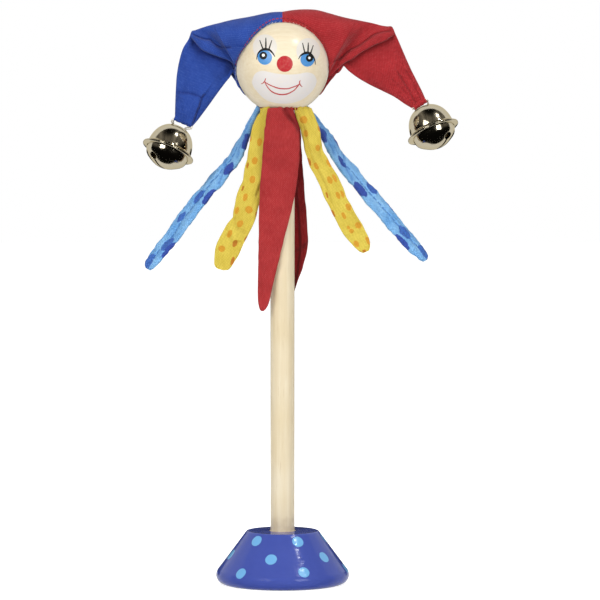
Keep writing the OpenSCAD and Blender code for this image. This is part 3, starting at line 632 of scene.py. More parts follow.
def cotton(name, main, shade, seam, spots=None, stitch=None):
    """Plain-weave printed or dyed cotton: matt, with an over-and-under thread pattern, uneven
    dye along single threads and slow clouding. Painted shade darkens the gaps between threads,
    the creases and the cloth under folds, and a painted highlight lightens the threads' tops.
    Threads are drawn at 1 mm, coarser than the real 0.3 mm, so that they still show."""
    material, tree = new_material(name)
    place = add(tree, "TexCoord")
    flat = place.outputs["UV"]
    wobble = add(tree, "TexNoise", {"Vector": flat, "Scale": 1 / (1.429 * MM), "Detail": 1})
    shift = add(tree, "VectorMath", {
        0: wobble.outputs["Color"], "Scale": THREAD_WANDER * MM}, operation="SCALE")
    threads = add(tree, "VectorMath", {0: flat, 1: shift}, operation="ADD")
    across = add(tree, "SeparateXYZ", {0: threads})
    waves = []
    for axis in ("X", "Y"):
        turn = add(tree, "Math", {0: across.outputs[axis], 1: 2 * math.pi / (THREAD_PITCH * MM)},
                   operation="MULTIPLY")
        waves.append(add(tree, "Math", {0: turn}, operation="SINE"))
    over = add(tree, "Math", {0: waves[0], 1: waves[1]}, operation="MULTIPLY")
    weave = add(tree, "MapRange", {"Value": over, "From Min": -1.0})
    drawn = add(tree, "VectorMath", {0: flat, 1: (1, 0.25, 1)}, operation="MULTIPLY")
    slub = add(tree, "TexNoise", {"Vector": drawn, "Scale": 1 / (0.6667 * MM), "Detail": 3})
    grain = add(tree, "Math", {0: slub, 1: 1.3, 2: weave}, operation="MULTIPLY_ADD")
    cloud = add(tree, "TexNoise", {
        "Vector": place.outputs["Object"], "Scale": 1 / (7.692 * MM), "Detail": 3})
    dye = add(tree, "MapRange", {"Value": cloud, "From Min": 0.3, "From Max": 0.72})
    colour = add(tree, "Mix", {0: dye, 6: srgb(main), 7: srgb(shade)}, data_type="RGBA")
    if spots:
        colour = spots(tree, flat, colour)
    # Painted shade in the gaps between the threads, towards the seam colour, the colour of all painted shade
    # here
    gaps = add(tree, "MapRange", {"Value": grain, "From Min": 1.35, "From Max": 0.75, "To Max": 0.37})
    colour = add(tree, "Mix", {0: gaps, 6: colour, 7: srgb(seam)}, data_type="RGBA")
    # Painted highlight on the threads' tops
    painted_thread_highlight = add(tree, "MapRange", {"Value": grain, "From Min": 1.35, "From Max": 1.9, "To Max": 0.05})
    colour = add(tree, "Mix", {0: painted_thread_highlight, 6: colour, 7: srgb(WHITE)}, data_type="RGBA")
    # Painted shade in the creases and under the folds
    painted_crease_shade = add(tree, "Attribute", attribute_name="painted_crease_shade").outputs["Fac"]
    rubbing_and_painted_shade = add(tree, "Math", {0: painted_crease_shade, 1: 0.72}, operation="MULTIPLY", use_clamp=True)
    colour = add(tree, "Mix", {0: rubbing_and_painted_shade, 6: colour, 7: srgb(seam)}, data_type="RGBA")
    if stitch:
        colour = stitch(tree, flat, colour)
    bump = add(tree, "Bump", {"Height": grain, "Strength": 0.65, "Distance": 0.24 * MM})
    cloth = add(tree, "BsdfPrincipled", {
        "Base Color": colour, "Roughness": 0.9, "Normal": bump, "IOR": 1.45,
        "Specular IOR Level": 0.25, "Sheen Weight": 0.08, "Sheen Roughness": 0.5,
        "Sheen Tint": srgb(WHITE)})
    add(tree, "OutputMaterial", {"Surface": cloth})
    return material


def dashes(tree, along, pitch, sewn):
    """1 on each stitch of a running seam and 0 between: the pitch is in mm, the rest a share."""
    step = add(tree, "Math", {0: along, 1: pitch * MM}, operation="DIVIDE")
    part = add(tree, "Math", {0: step}, operation="FRACT")
    return add(tree, "Math", {0: part, 1: sewn}, operation="LESS_THAN")


def hat_stitching(thread, fray):
    """Topstitching 2 mm from the hem's edge, and short pale fuzz along that edge."""
    def stitch(tree, flat, colour):
        axes = add(tree, "SeparateXYZ", {0: flat})
        across, up = axes.outputs["X"], axes.outputs["Y"]
        hemmed = add(tree, "Attribute", attribute_name="hemmed").outputs["Fac"]
        past = add(tree, "Math", {0: up, 1: STITCH_LINE * MM}, operation="SUBTRACT")
        from_line = add(tree, "Math", {0: past}, operation="ABSOLUTE")
        near = add(tree, "MapRange", {
            "Value": from_line, "From Min": 0.4 * MM, "From Max": 0.22 * MM})
        sewn = add(tree, "Math", {0: near, 1: dashes(tree, across, 1.9, 0.6)}, operation="MULTIPLY")
        share = add(tree, "Math", {0: sewn, 1: hemmed}, operation="MULTIPLY")
        colour = add(tree, "Mix", {0: share, 6: colour, 7: srgb(thread)}, data_type="RGBA")
        hairs = add(tree, "TexNoise", {"Vector": flat, "Scale": 1 / (0.9091 * MM), "Detail": 2})
        reach = add(tree, "MapRange", {
            "Value": hairs, "From Min": 0.45, "From Max": 0.65, "To Max": 1.3 * MM})
        inside = add(tree, "Math", {0: reach, 1: up}, operation="SUBTRACT")
        fuzz = add(tree, "MapRange", {"Value": inside, "From Max": 0.3 * MM, "To Max": 0.75})
        share = add(tree, "Math", {0: fuzz, 1: hemmed}, operation="MULTIPLY")
        return add(tree, "Mix", {0: share, 6: colour, 7: srgb(fray)}, data_type="RGBA")
    return stitch


blue_cloth = cotton("royal_blue_dyed_cotton", "#2c4fa6", "#234394", "#17276a",
                    stitch=hat_stitching("#a3323a", "#b9c6e2"))
red_cloth = cotton("brick_red_dyed_cotton", "#b12a2f", "#a02227", "#6a1014",
                   stitch=hat_stitching("#7c1c22", "#dba79c"))
hat = {"left": hat_side("left", blue_cloth), "right": hat_side("right", red_cloth)}
# Each horn's fold: the middle of the fold and the way past it.
FOLD_TURN = {"left": ((-35.6, 0, 264.53), (-0.7419, 0, -0.6705)),
             "right": ((42, 0, 267.73), (0.6113, 0, -0.7914))}
for side, cloth in hat.items():
    middle, way = (Vector(v) for v in FOLD_TURN[side])
    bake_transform(cloth)
    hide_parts(f"hat_{side}", f"{side}_horn_tip")


# ---- Hems at the horn tips ----
# The cloth at each tip is turned over the cord and sewn down as a narrow tube.
TIP = {
    "left": {"outer": Vector((-53.45, 0, 232.5)), "inner": Vector((-44.85, 0, 228.9)), "cloth": blue_cloth},
    "right": {"outer": Vector((71.0, 0, 241.3)), "inner": Vector((65.0, 0, 237.3)), "cloth": red_cloth},
}
TIP_HEM_RADIUS = 1.55


def swept(name, path, shape, material):
    """A closed tube along a path. shape(i) gives the ring at path point i as offsets in mm."""
    rings = [np.asarray(p) + shape(i) for i, p in enumerate(path)]
    n, last = len(rings[0]), len(rings) - 1
    faces = [(i * n + k, i * n + (k + 1) % n, (i + 1) * n + (k + 1) % n, (i + 1) * n + k)
             for i in range(last) for k in range(n)]
    faces += [tuple(range(n))[::-1], tuple(last * n + k for k in range(n))]
    round_it = run_along(rings[len(rings) // 2])
    uvs = np.stack([np.tile(round_it, len(rings)), np.repeat(run_along(path), n)], axis=1)
    return object_from(name, np.concatenate(rings), faces, material, uvs)


def frame_along(path):
    """Two directions square to a path at each of its points, carried along without twisting."""
    path = np.asarray(path, float)
    way = np.gradient(path, axis=0)
    way /= np.linalg.norm(way, axis=1)[:, None]
    # The start is any direction that no path here begins along
    side = np.cross(way[0], (0.31, 0.95, 0.08))
    sides = []
    for w in way:
        side = side - w * side.dot(w)
        side /= np.linalg.norm(side)
        sides.append(side)
    sides = np.array(sides)
    return sides, np.cross(way, sides)


def round_tube(name, path, radius, material, sides=12):
    """A plain round tube along a path; radius is one number or one for each point."""
    u, v = frame_along(path)
    turn = np.linspace(0, 2 * np.pi, sides, endpoint=False)
    radii = np.broadcast_to(radius, len(path))
    return swept(name, path, lambda i: radii[i] * (
        np.cos(turn)[:, None] * u[i] + np.sin(turn)[:, None] * v[i]), material)


for side, tip in TIP.items():
    outer, inner = tip["outer"], tip["inner"]
    path = [outer + (inner - outer) * k / 24 for k in range(25)]
    u, v = frame_along(path)
    turn = np.linspace(0, 2 * np.pi, 28, endpoint=False)

    def tube_ring(i):
        ripple = 1 + 0.07 * np.sin(turn * 3 + i * 0.9) + 0.05 * math.sin(i * 1.7)
        ring = np.cos(turn)[:, None] * u[i] + np.sin(turn)[:, None] * v[i]
        return TIP_HEM_RADIUS * ripple[:, None] * ring

    hem = swept(f"{side}_tip_hem_cloth", path, tube_ring, tip["cloth"])
    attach(hem, f"{side}_horn")
    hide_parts(f"{side}_tip_hem")
    tip["hem"] = hem


# ---- Bell cords ----
# White cotton cord, two strands laid together, threaded through the tip's hem and the two
# holes in the top of a bell, and knotted inside.
BELL = {
    "left": {"centre": Vector((-55.751, 0, 217.837)), "up": Vector((0.371118, 0.310098, 0.875278)),
             "slot": Vector((-0.65948, -0.575569, 0.483535))},
    "right": {"centre": Vector((73.72, 0, 227.6)), "up": Vector((-0.371118, 0.310098, 0.875278)),
              "slot": Vector((0.65948, -0.575569, 0.483535))},
}
BELL_RADIUS = 11.3
# A strand's size, how far its middle lies from the cord's, and the length of one twist
STRAND_RADIUS = 0.31
STRAND_OFF = 0.45
TWIST_LENGTH = 13


def white_cotton_cord():
    """Bleached cotton strand: off-white, soft, with fine spun fibres running round it."""
    material, tree = new_material("bleached_twisted_cotton_cord")
    flat = add(tree, "TexCoord").outputs["UV"]
    drawn = add(tree, "VectorMath", {0: flat, 1: (4, 0.7, 1)}, operation="MULTIPLY")
    fibre = add(tree, "TexNoise", {"Vector": drawn, "Scale": 1 / (0.4167 * MM), "Detail": 2})
    colour = add(tree, "Mix", {0: fibre, 6: srgb("#f4efe2"), 7: srgb("#ddd4bf")}, data_type="RGBA")
    bump = add(tree, "Bump", {"Height": fibre, "Strength": 0.5, "Distance": 0.08 * MM})
    cord = add(tree, "BsdfPrincipled", {
        "Base Color": colour, "Roughness": 0.9, "Normal": bump, "IOR": 1.45,
        "Specular IOR Level": 0.3, "Sheen Weight": 0.1})
    add(tree, "OutputMaterial", {"Surface": cord})
    return material


def cord_path(side):
    """The cord's closed loop: through the hem, round its two ends and down into the bell."""
    outer, inner = TIP[side]["outer"], TIP[side]["inner"]
    centre, up = BELL[side]["centre"], BELL[side]["up"]
    axis, middle = (inner - outer).normalized(), (outer + inner) / 2
    across = up.cross(axis.cross(up)).normalized()
    out, down = (inner - outer).length / 2 - 0.8, (centre - middle).normalized()
    # It comes out just past each end of the hem, lower the further the bell hangs, and enters
    # the bell by two holes about 3 mm from the top's middle
    dip = 0.55 + 0.65 * ((centre - middle).length - 12.85)
    loop = [
        middle, middle + axis * out * 0.85, middle + axis * (out + 1.15) + down * dip,
        centre + up * 11.5 + across * 3.1, centre + up * 9.9 + across * 2.9, centre + up * 9.2,
        centre + up * 9.9 - across * 2.9, centre + up * 11.5 - across * 3.1,
        middle - axis * (out + 1.15) + down * dip, middle - axis * out * 0.85]
    loop = [tuple(p) for p in loop]
    return curve(loop[-2:] + loop + loop[:2], np.linspace(2, len(loop) + 2, 240))


cord_cotton = white_cotton_cord()
for side in BELL:
    path = cord_path(side)
    u, v = frame_along(path)
    run = run_along(path)
    laid = 0.6 + 2 * np.pi * np.round(run[-1] / TWIST_LENGTH) * run / run[-1]
    for k in range(2):
        twist = laid + math.pi * k
        off = STRAND_OFF * (np.cos(twist)[:, None] * u + np.sin(twist)[:, None] * v)
        strand = round_tube(f"{side}_cord_strand_{k}", path + off, STRAND_RADIUS, cord_cotton, sides=10)
        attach(strand, f"{side}_bell")
    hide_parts(f"{side}_bell_cord")


# ---- Bells ----
# Jingle bells pressed from thin sheet steel and nickel plated: two cups joined at a rolled
# flange below the ball's middle, with a slot between two punched holes in the lower cup and a
# loose steel pellet inside.
SEAM_BELOW = 2.6
CUP_INSIDE = 10.8
# How full the upper cup's dome is: 2 would be a plain ball
DOME_FULLNESS = 2.3
# The flange's edge from the outside in, as radius and height over the seam
FLANGE = ((13.05, 0.58), (13.22, 0.46), (13.32, 0.27), (13.25, 0.08), (12.9, 0.03), (12.0, 0.02))
# The slot and the holes at its ends: half its width, the holes' radius, and how far from the
# bottom they lie, in degrees
SLOT_HALF_WIDTH, SLOT_HOLE, SLOT_REACH = 0.55, 2.1, 41
# The cord's holes: their radius, and how far they lie from the top's middle
CORD_HOLE, CORD_HOLE_OUT = 1.05, 3


def nickel_plate():
    """Bright nickel plate on pressed steel: a warm grey mirror with faint press waviness and
    fine handling scratches that soften the reflections a little."""
    material, tree = new_material("bright_nickel_plate_on_pressed_steel")
    place = add(tree, "TexCoord").outputs["Object"]
    drawn = add(tree, "VectorMath", {0: place, 1: (1, 0.08, 1)}, operation="MULTIPLY")
    scratch = add(tree, "TexNoise", {"Vector": drawn, "Scale": 1 / (0.3846 * MM), "Detail": 2})
    tint = add(tree, "Mix", {0: scratch, 6: srgb("#c8bfa8"), 7: srgb("#b6ad98")}, data_type="RGBA")
    polish = add(tree, "MapRange", {
        "Value": scratch, "From Min": 0.4, "From Max": 0.8, "To Min": 0.1, "To Max": 0.2})
    wavy = add(tree, "TexNoise", {"Vector": place, "Scale": 1 / (6.25 * MM), "Detail": 1})
    bump = add(tree, "Bump", {"Height": wavy, "Strength": 0.12, "Distance": 0.3 * MM})
    plate = add(tree, "BsdfPrincipled", {
        "Base Color": tint, "Metallic": 1.0, "Roughness": polish, "Normal": bump,
        "Specular Tint": srgb("#e6dfcb")})
    add(tree, "OutputMaterial", {"Surface": plate})
    return material


def lathe(name, profile, material, turns=160):
    """Turns a closed outline of (radius, height) about the upright axis, in mm."""
    around = np.linspace(0, 2 * np.pi, turns, endpoint=False)
    outline = np.asarray(profile, float)
    points = np.stack([np.outer(np.cos(around), outline[:, 0]), np.outer(np.sin(around), outline[:, 0]),
                       np.tile(outline[:, 1], (turns, 1))], axis=-1).reshape(-1, 3)
    n = len(outline)
    faces = [(i * n + k, (i + 1) % turns * n + k, (i + 1) % turns * n + (k + 1) % n, i * n + (k + 1) % n)
             for i in range(turns) for k in range(n)]
    made = object_from(name, points, faces, material)
    work = bmesh.new()
    work.from_mesh(made.data)
    bmesh.ops.remove_doubles(work, verts=work.verts, dist=0.0001 * MM)
    bmesh.ops.dissolve_degenerate(work, edges=work.edges, dist=0.0001 * MM)
    bmesh.ops.recalc_face_normals(work, faces=work.faces)
    work.to_mesh(made.data)
    work.free()
    return made


def cut(made, cutters):
    """Takes the cutters' shapes out of a solid and drops them."""
    for cutter in cutters:
        taken = made.modifiers.new("cut", "BOOLEAN")
        taken.operation, taken.solver, taken.object = "DIFFERENCE", "EXACT", cutter
    finished(made)
    for cutter in cutters:
        bpy.data.objects.remove(cutter)


def upper_cup():
    """The outside of the upper cup, top to seam: a full dome that flares into its flange."""
    turn = np.radians(np.linspace(90, 0, 90))
    out = np.cos(turn) ** (2 / DOME_FULLNESS) * BELL_RADIUS
    up = np.sin(turn) ** (2 / DOME_FULLNESS) * (BELL_RADIUS + SEAM_BELOW) - SEAM_BELOW
    flare = [(11.28, -0.98), (11.4, -1.12), (11.62, -1.28), (12.0, -1.52), (12.4, -1.78),
             (12.65, -1.92), (12.85, -1.98)]
    return [(r, z) for r, z in zip(out, up) if z > -0.8] + flare


def lower_cup():
    """The outside of the lower cup, turned upside down: a ball, a little fuller near its flange."""
    angle = np.radians(np.linspace(0, 73.5, 90))
    swell = 0.65 * groove(angle - math.radians(56), math.radians(14))
    out = (BELL_RADIUS + swell) * np.sin(angle)
    up = (BELL_RADIUS + 0.8 * swell) * np.cos(angle)
    return [*zip(out, up), (11.12, 3.24), (11.3, 3.2)]


def cup_outline(outside, sign):
    """A cup's closed outline with its flange and its inside: sign is 1 for the upper cup and -1
    for the lower, which is turned over."""
    low = SEAM_BELOW * sign
    rim = [(r, z - low) for r, z in FLANGE]
    mouth = math.radians(90) + math.asin((low - 0.04) / CUP_INSIDE)
    inside = [(CUP_INSIDE * math.sin(a), CUP_INSIDE * math.cos(a)) for a in np.linspace(mouth, 0, 40)]
    return [(r, sign * z) for r, z in outside + rim + inside]


def slot_blade(material):
    """A thin fan that cuts the slot through the lower cup, from one end hole to the other."""
    fan = [(0, -4.0)]
    fan += [(12.6 * math.sin(a), -12.6 * math.cos(a))
            for a in np.radians(np.linspace(-SLOT_REACH, SLOT_REACH, 9))]
    points = [(x, y, z) for y in (-SLOT_HALF_WIDTH, SLOT_HALF_WIDTH) for x, z in fan]
    n = len(fan)
    faces = [tuple(range(n)), tuple(range(2 * n - 1, n - 1, -1))]
    faces += [(k, k + n, (k + 1) % n + n, (k + 1) % n) for k in range(n)]
    return object_from("cutter", points, faces, material)


def bell_axes(bell):
    """The bell's own frame in the object's, with z up through its cord holes and x along its slot."""
    x, z = bell["slot"].normalized(), bell["up"].normalized()
    return Matrix((x, z.cross(x), z)).transposed()


nickel = nickel_plate()
for side, bell in BELL.items():
    turned = bell_axes(bell)
    hem_line = TIP[side]["inner"] - TIP[side]["outer"]
    across = turned.inverted() @ bell["up"].cross(hem_line.cross(bell["up"]))
    across.normalize()
    lean = math.radians(SLOT_REACH)
    cord_holes, slot_holes = [], []
    for end in (-1, 1):
        spot = across * end * CORD_HOLE_OUT
        bore = [spot + Vector((0, 0, height)) for height in (7, 9, 11, 13)]
        cord_holes.append(round_tube("cutter", bore, CORD_HOLE, nickel, sides=32))
        way = Vector((end * math.sin(lean), 0, -math.cos(lean)))
        bore = [way * out for out in (8, 9.5, 11, 13)]
        slot_holes.append(round_tube("cutter", bore, SLOT_HOLE, nickel, sides=48))
    cups = {"top": (cup_outline(upper_cup(), 1), cord_holes),
            "bottom": (cup_outline(lower_cup(), -1), [*slot_holes, slot_blade(nickel)])}
    for node, (outline, cutters) in cups.items():
        cup = lathe(f"{side}_bell_cup_{node}", outline, nickel)
        cut(cup, cutters)
        cup.data.transform(Matrix.Translation(bell["centre"] * MM) @ turned.to_4x4())
        for face in cup.data.polygons:
            face.use_smooth = True
        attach(cup, f"{side}_bell")
        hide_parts(f"{side}_bell_{node}")
    dress(f"{side}_bell_pellet", nickel)


# ---- Neck washer ----
# A disc of scrap cloth round the stick's tenon, under the flat of the head. The six strips
# are sewn to it.
# A darker copy of the strips' brick red, as painted shade for cloth that lies in shadow at the back and under
# the head
shaded_red_cloth = cotton("red_cotton_darkened_as_painted_shade", "#8d1519", "#7c1014", "#4a0709")
dress("neck_washer", shaded_red_cloth)


# ---- Neck strips ----
# Six narrow bags of printed or dyed cotton, sewn right sides together, turned, pressed and
# gathered into the seam round the neck.
NECK_HEIGHT = 237.5
# Each row down a strip is its middle's x, y and height over the neck's underside, its width and
# the way its face looks, in degrees from x. root is where it is sewn in, thick its thickness,
# and the third entry how dark the painted shade in its creases is. A pleat is a line across and
# down the cloth, the step past it and its groove's depth. A printed mark is its middle's x and
# height, half its width and height, and how deep its ink took.
STRIPS = {
    "red_front": {
        "root": 270, "thick": 1.7, "rubbing_and_painted_shade": 0.8,
        "rows": [
            (-1.2, -11.9, 0.15, 12, 270), (-1.1, -12.3, -1.7, 13, 270), (-0.8, -12, -6, 15, 270),
            (-0.3, -11.4, -11.5, 17.4, 270), (-0.9, -9.4, -26, 18.2, 270), (-2.4, -8.1, -41, 17.4, 270),
            (-4.6, -7.7, -57.5, 14.4, 270), (-6.7, -7.6, -73.5, 10.6, 270),
            (-8.6, -7.6, -88.4, 7.2, 270), (-9.4, -7.6, -96.3, 5.2, 270), (-9.9, -7.6, -99.6, 3, 270),
            (-10, -7.6, -100.8, 0.8, 270)],
        "pleats": [
            ([(1.6, 0), (3.4, -5), (9.3, -13)], 1.5, 0.7),
            ([(4.4, 0), (6.2, -4), (9.3, -11)], 0.6, 0.5)],
    },
    "red_back": {
        "root": 90, "thick": 1.7, "rubbing_and_painted_shade": 0.8,
        "rows": [
            (0, 11.9, 0.15, 13, 90), (0.1, 12.3, -1.7, 13.8, 90), (0.2, 11.8, -11, 17.3, 90),
            (0.8, 10, -26, 18, 90), (2, 8.4, -42, 18, 90), (4, 7.9, -59, 17, 90),
            (4.6, 7.8, -72, 15, 90), (3.4, 7.8, -86, 9, 90), (1.8, 7.8, -95.5, 5, 90),
            (1, 7.8, -98.6, 1, 90)],
        "pleats": [
            ([(-5.8, -20), (-4.6, -60), (-3.2, -98)], -0.8, 0.6),
            ([(-9, -66), (-6, -70), (-3, -72)], 0.4, 0.8)],
    },
    "yellow_left": {
        "root": 205, "thick": 1.6, "rubbing_and_painted_shade": 0.2,
        "rows": [
            (-8.7, -7.9, 0.15, 6, 232), (-8.2, -7.9, -1.7, 6.4, 237), (-8.5, -7.5, -4, 6.6, 240),
            (-9.8, -7.4, -6.5, 7.6, 246), (-11, -6.9, -11.5, 9, 253), (-11.2, -6.4, -16.5, 10, 258),
            (-11.8, -5.9, -21.5, 10.6, 262), (-12.2, -5.5, -26.5, 10.8, 264),
            (-13.2, -5.1, -31.5, 11.3, 266), (-13.8, -4.8, -36, 11.7, 267),
            (-14.8, -4.5, -39, 11.2, 268), (-15.9, -4.4, -42, 11.6, 268),
            (-17.3, -4.3, -46.5, 11.8, 268), (-18.4, -4.2, -51.5, 11.8, 268),
            (-19.7, -4.2, -56.5, 10.9, 268), (-22.8, -4.3, -61.5, 11.6, 268),
            (-25.4, -4.4, -66.5, 12.2, 268), (-27.6, -4.5, -71.5, 11.7, 268),
            (-29.2, -4.6, -76.3, 9.6, 268), (-30.2, -4.6, -79.3, 7.4, 268),
            (-30.5, -4.6, -80.4, 3, 268)],
        "pleats": [
            ([(3.4, -17), (3.9, -32), (3.2, -44)], 0.6, 0.6),
            ([(-5, -58), (-1.5, -62), (3.5, -63)], 0.5, 0.6),
            ([(-4, -66), (0.4, -70), (4, -68)], -0.4, 0.6)],
        "print": [
            (-16.2, -15.5, 1, 1.8, 0), (-11.5, -17, 1.3, 2, 0), (-13.75, -26.2, 1.4, 2, 0),
            (-14.75, -35.5, 1.5, 2, 0), (-18.3, -44.5, 1.15, 1.85, 0), (-22.7, -51, 1, 1.9, 0),
            (-16.5, -50.7, 1.9, 1.9, 0), (-21, -57.7, 1.4, 2, 0), (-26, -62.5, 1.2, 1.9, 0),
            (-23.5, -67.5, 1.1, 1.9, 1), (-30, -70, 1.7, 1.5, 0), (-24.8, -76, 0.8, 2.2, 1),
            (-17.9, -65, 0.7, 1.6, 1), (-12.8, -53, 0.6, 1.5, 1), (-17.2, -28.5, 0.5, 1.6, 1),
            (-19.6, -40, 0.5, 1.4, 1)],
    },
    "yellow_right": {
        "root": 335, "thick": 1.6, "rubbing_and_painted_shade": 0.1,
        "rows": [
            (9.7, -6.7, 0.15, 8.6, 302), (10.3, -7.4, -1.7, 9.2, 295), (12.1, -7.2, -6.5, 9.2, 284),
            (13.9, -6.8, -11.5, 9.5, 280), (14.8, -6.4, -16.5, 8.9, 279), (15.6, -5.9, -21.5, 8.7, 280),
            (17.6, -5.4, -26.5, 9.5, 277), (20.2, -5, -31.5, 9.4, 275), (23, -4.6, -36.5, 9.9, 273),
            (25.1, -4.4, -41.5, 10.5, 272), (27.3, -4.2, -46.5, 9.8, 272), (29.9, -4.2, -51.5, 10, 272),
            (32.5, -4.2, -56.5, 10.7, 272), (35.6, -4.3, -61.5, 10.2, 272),
            (38.9, -4.4, -66.5, 8.8, 272), (40.6, -4.5, -69.8, 6.4, 272), (41.4, -4.6, -71.6, 3, 272)],
        "pleats": [
            ([(-3.2, 0), (-2.6, -16), (-2.2, -30), (-2.6, -48)], -0.7, 0.7),
            ([(3.4, -22), (2.4, -27), (1.8, -31)], 0.4, 0.5)],
        "print": [
            (10.5, -6, 1.8, 1.9, 0), (11.3, -12.7, 1.1, 2, 0), (18, -10.3, 0.6, 1.3, 0),
            (17.5, -20, 1.2, 1.8, 0), (23, -27.5, 0.9, 2.2, 0), (16.5, -29, 0.9, 1.8, 0),
            (13.4, -27, 0.7, 2, 1), (23.2, -36, 1.25, 2, 0), (25.7, -35, 0.8, 2, 0),
            (22, -43.5, 0.5, 1.5, 1), (27.5, -43.5, 1, 1.9, 0), (29.7, -43, 0.8, 2, 0),
            (32.7, -49.5, 1.25, 1.9, 0), (25.2, -52.5, 0.6, 1.9, 1), (30.5, -53.7, 0.9, 1.9, 0),
            (37.7, -58.5, 1.5, 1.7, 0), (32.7, -59.5, 0.8, 1, 0), (34.1, -61.2, 1.1, 1.2, 0),
            (42.5, -66, 1.1, 2, 0), (36.7, -67.7, 1.3, 1.9, 0), (40.5, -71, 0.9, 0.7, 1)],
    },
    "blue_left": {
        "root": 151, "thick": 3.2, "rubbing_and_painted_shade": 0.6,
        "rows": [
            (-10.4, 5.8, 0.15, 9, 151), (-11.5, 6.3, -1.7, 8.4, 156), (-15.2, 7.3, -7, 8, 171),
            (-17.6, 7.9, -11.5, 8.4, 185), (-19.8, 8.5, -16.5, 10.2, 197),
            (-22.4, 9.1, -21.5, 11.2, 205), (-25.1, 9.7, -26.5, 9.8, 209), (-28.9, 10.2, -31.5, 9, 213),
            (-33.3, 10.7, -36.5, 10.2, 216), (-37.2, 11.1, -41.5, 8.8, 217),
            (-41.2, 11.4, -46.5, 9.8, 218), (-45, 11.7, -51.5, 10.2, 218), (-48.7, 12, -56.5, 9.8, 218),
            (-52, 12.2, -61.5, 10, 217), (-55.8, 12.4, -66.5, 9.4, 216), (-60, 12.5, -71.5, 9.8, 214),
            (-64, 12.6, -76.3, 9.6, 212), (-66.2, 12.6, -79.3, 7.6, 212),
            (-67.2, 12.6, -81.2, 3.4, 212)],
        "pleats": [
            ([(3, -8), (2.4, -18), (3.4, -28)], 0.5, 0.5),
            ([(-4, -32), (0, -36), (3.6, -44)], 0.4, 0.5)],
        "print": [
            (-13.2, -3.5, 1.3, 1.5, 1), (-18.2, -17, 2.2, 3.9, 1), (-24.4, -21, 1.4, 5, 1),
            (-27.2, -30.7, 1.8, 3.8, 1), (-41.6, -45, 2, 4, 0.5), (-36, -45, 1.9, 4.8, 1),
            (-50.7, -55, 1.5, 3.2, 0.3), (-57.5, -68.5, 2.5, 4.2, 0.4), (-56.2, -71.8, 1.4, 5, 1),
            (-66.2, -77.3, 3, 4.2, 0.3)],
    },
    "blue_right": {
        "root": 29, "thick": 3.2, "rubbing_and_painted_shade": 0.6,
        "rows": [
            (10.4, 5.8, 0.15, 9, 29), (11.5, 6.3, -1.7, 8.4, 24), (16, 7.3, -6.4, 8, 9),
            (19.4, 7.9, -11.3, 8.4, -5), (22, 8.5, -15.8, 9.6, -17), (24.6, 9.2, -20, 10.4, -25),
            (26.8, 9.8, -24.5, 9.2, -29), (30.3, 10.3, -29, 9, -33), (34.4, 10.8, -33.6, 10.2, -36),
            (38.1, 11.2, -38.3, 8.8, -37), (42.2, 11.5, -43, 9.8, -38), (46.5, 11.8, -47.8, 10.2, -38),
            (51, 12, -52.6, 9.8, -38), (55, 12.2, -57.6, 10, -37), (59.3, 12.4, -62.6, 9.6, -36),
            (63.8, 12.5, -67.6, 9.8, -34), (68.2, 12.6, -72.3, 9.4, -32), (70.4, 12.6, -75, 7.4, -32),
            (71.4, 12.6, -76.9, 3.4, -32)],
        "pleats": [
            ([(-3, -8), (-2.4, -18), (-3.4, -28)], -0.5, 0.5),
            ([(4, -32), (0, -36), (-3.6, -44)], -0.4, 0.5)],
        "print": [
            (13.4, -0.9, 1.3, 1.5, 1), (20.6, -13.6, 2.2, 3.9, 1), (27.4, -17, 1.4, 5, 1),
            (29.6, -27.4, 1.8, 3.8, 1), (44.6, -40.6, 2, 4, 0.5), (39, -41, 1.9, 4.8, 1),
            (53.6, -50, 1.5, 3.2, 0.3), (60.7, -63, 2.5, 4.2, 0.4), (59.6, -67.6, 1.4, 5, 1),
            (70.7, -72.4, 3, 4.2, 0.3)],
    },
}


def middle_seam(thread):
    """A run of stitches down the middle of each face."""
    def stitch(tree, flat, colour):
        across = add(tree, "Attribute", attribute_name="across").outputs["Fac"]
        from_line = add(tree, "Math", {0: across}, operation="ABSOLUTE")
        near = add(tree, "MapRange", {
            "Value": from_line, "From Min": 0.11, "From Max": 0.04, "To Max": 0.8})
        down = add(tree, "SeparateXYZ", {0: flat}).outputs["Y"]
        share = add(tree, "Math", {0: near, 1: dashes(tree, down, 3.4, 0.7)}, operation="MULTIPLY")
        return add(tree, "Mix", {0: share, 6: colour, 7: srgb(thread)}, data_type="RGBA")
    return stitch


def printed(marks, pale, deep, ragged):
    """A print of plump spots with ragged edges, each at its place across and down the cloth."""
    pale_ink, deep_ink = srgb(pale), srgb(deep)

    def spots(tree, flat, colour):
        rough = add(tree, "TexNoise", {"Vector": flat, "Scale": 1 / (1.613 * MM), "Detail": 2})
        nudge = add(tree, "VectorMath", {0: rough.outputs["Color"], 1: (0.5, 0.5, 0.5)}, operation="SUBTRACT")
        shift = add(tree, "VectorMath", {0: nudge, "Scale": ragged * MM}, operation="SCALE")
        place = add(tree, "VectorMath", {0: flat, 1: shift}, operation="ADD")
        for across, down, wide, high, deepness in marks:
            from_mark = add(tree, "VectorMath", {0: place, 1: (across * MM, down * MM, 0)},
                            operation="SUBTRACT")
            scaled = add(tree, "VectorMath", {0: from_mark, 1: (1 / (wide * MM), 1 / (high * MM), 0)},
                         operation="MULTIPLY")
            away = add(tree, "VectorMath", {0: scaled}, operation="LENGTH")
            share = add(tree, "MapRange", {"Value": away, "From Min": 1.08, "From Max": 0.92})
            ink = [a + (b - a) * deepness for a, b in zip(pale_ink, deep_ink)]
            colour = add(tree, "Mix", {0: share, 6: colour, 7: ink}, data_type="RGBA")
        return colour
    return spots


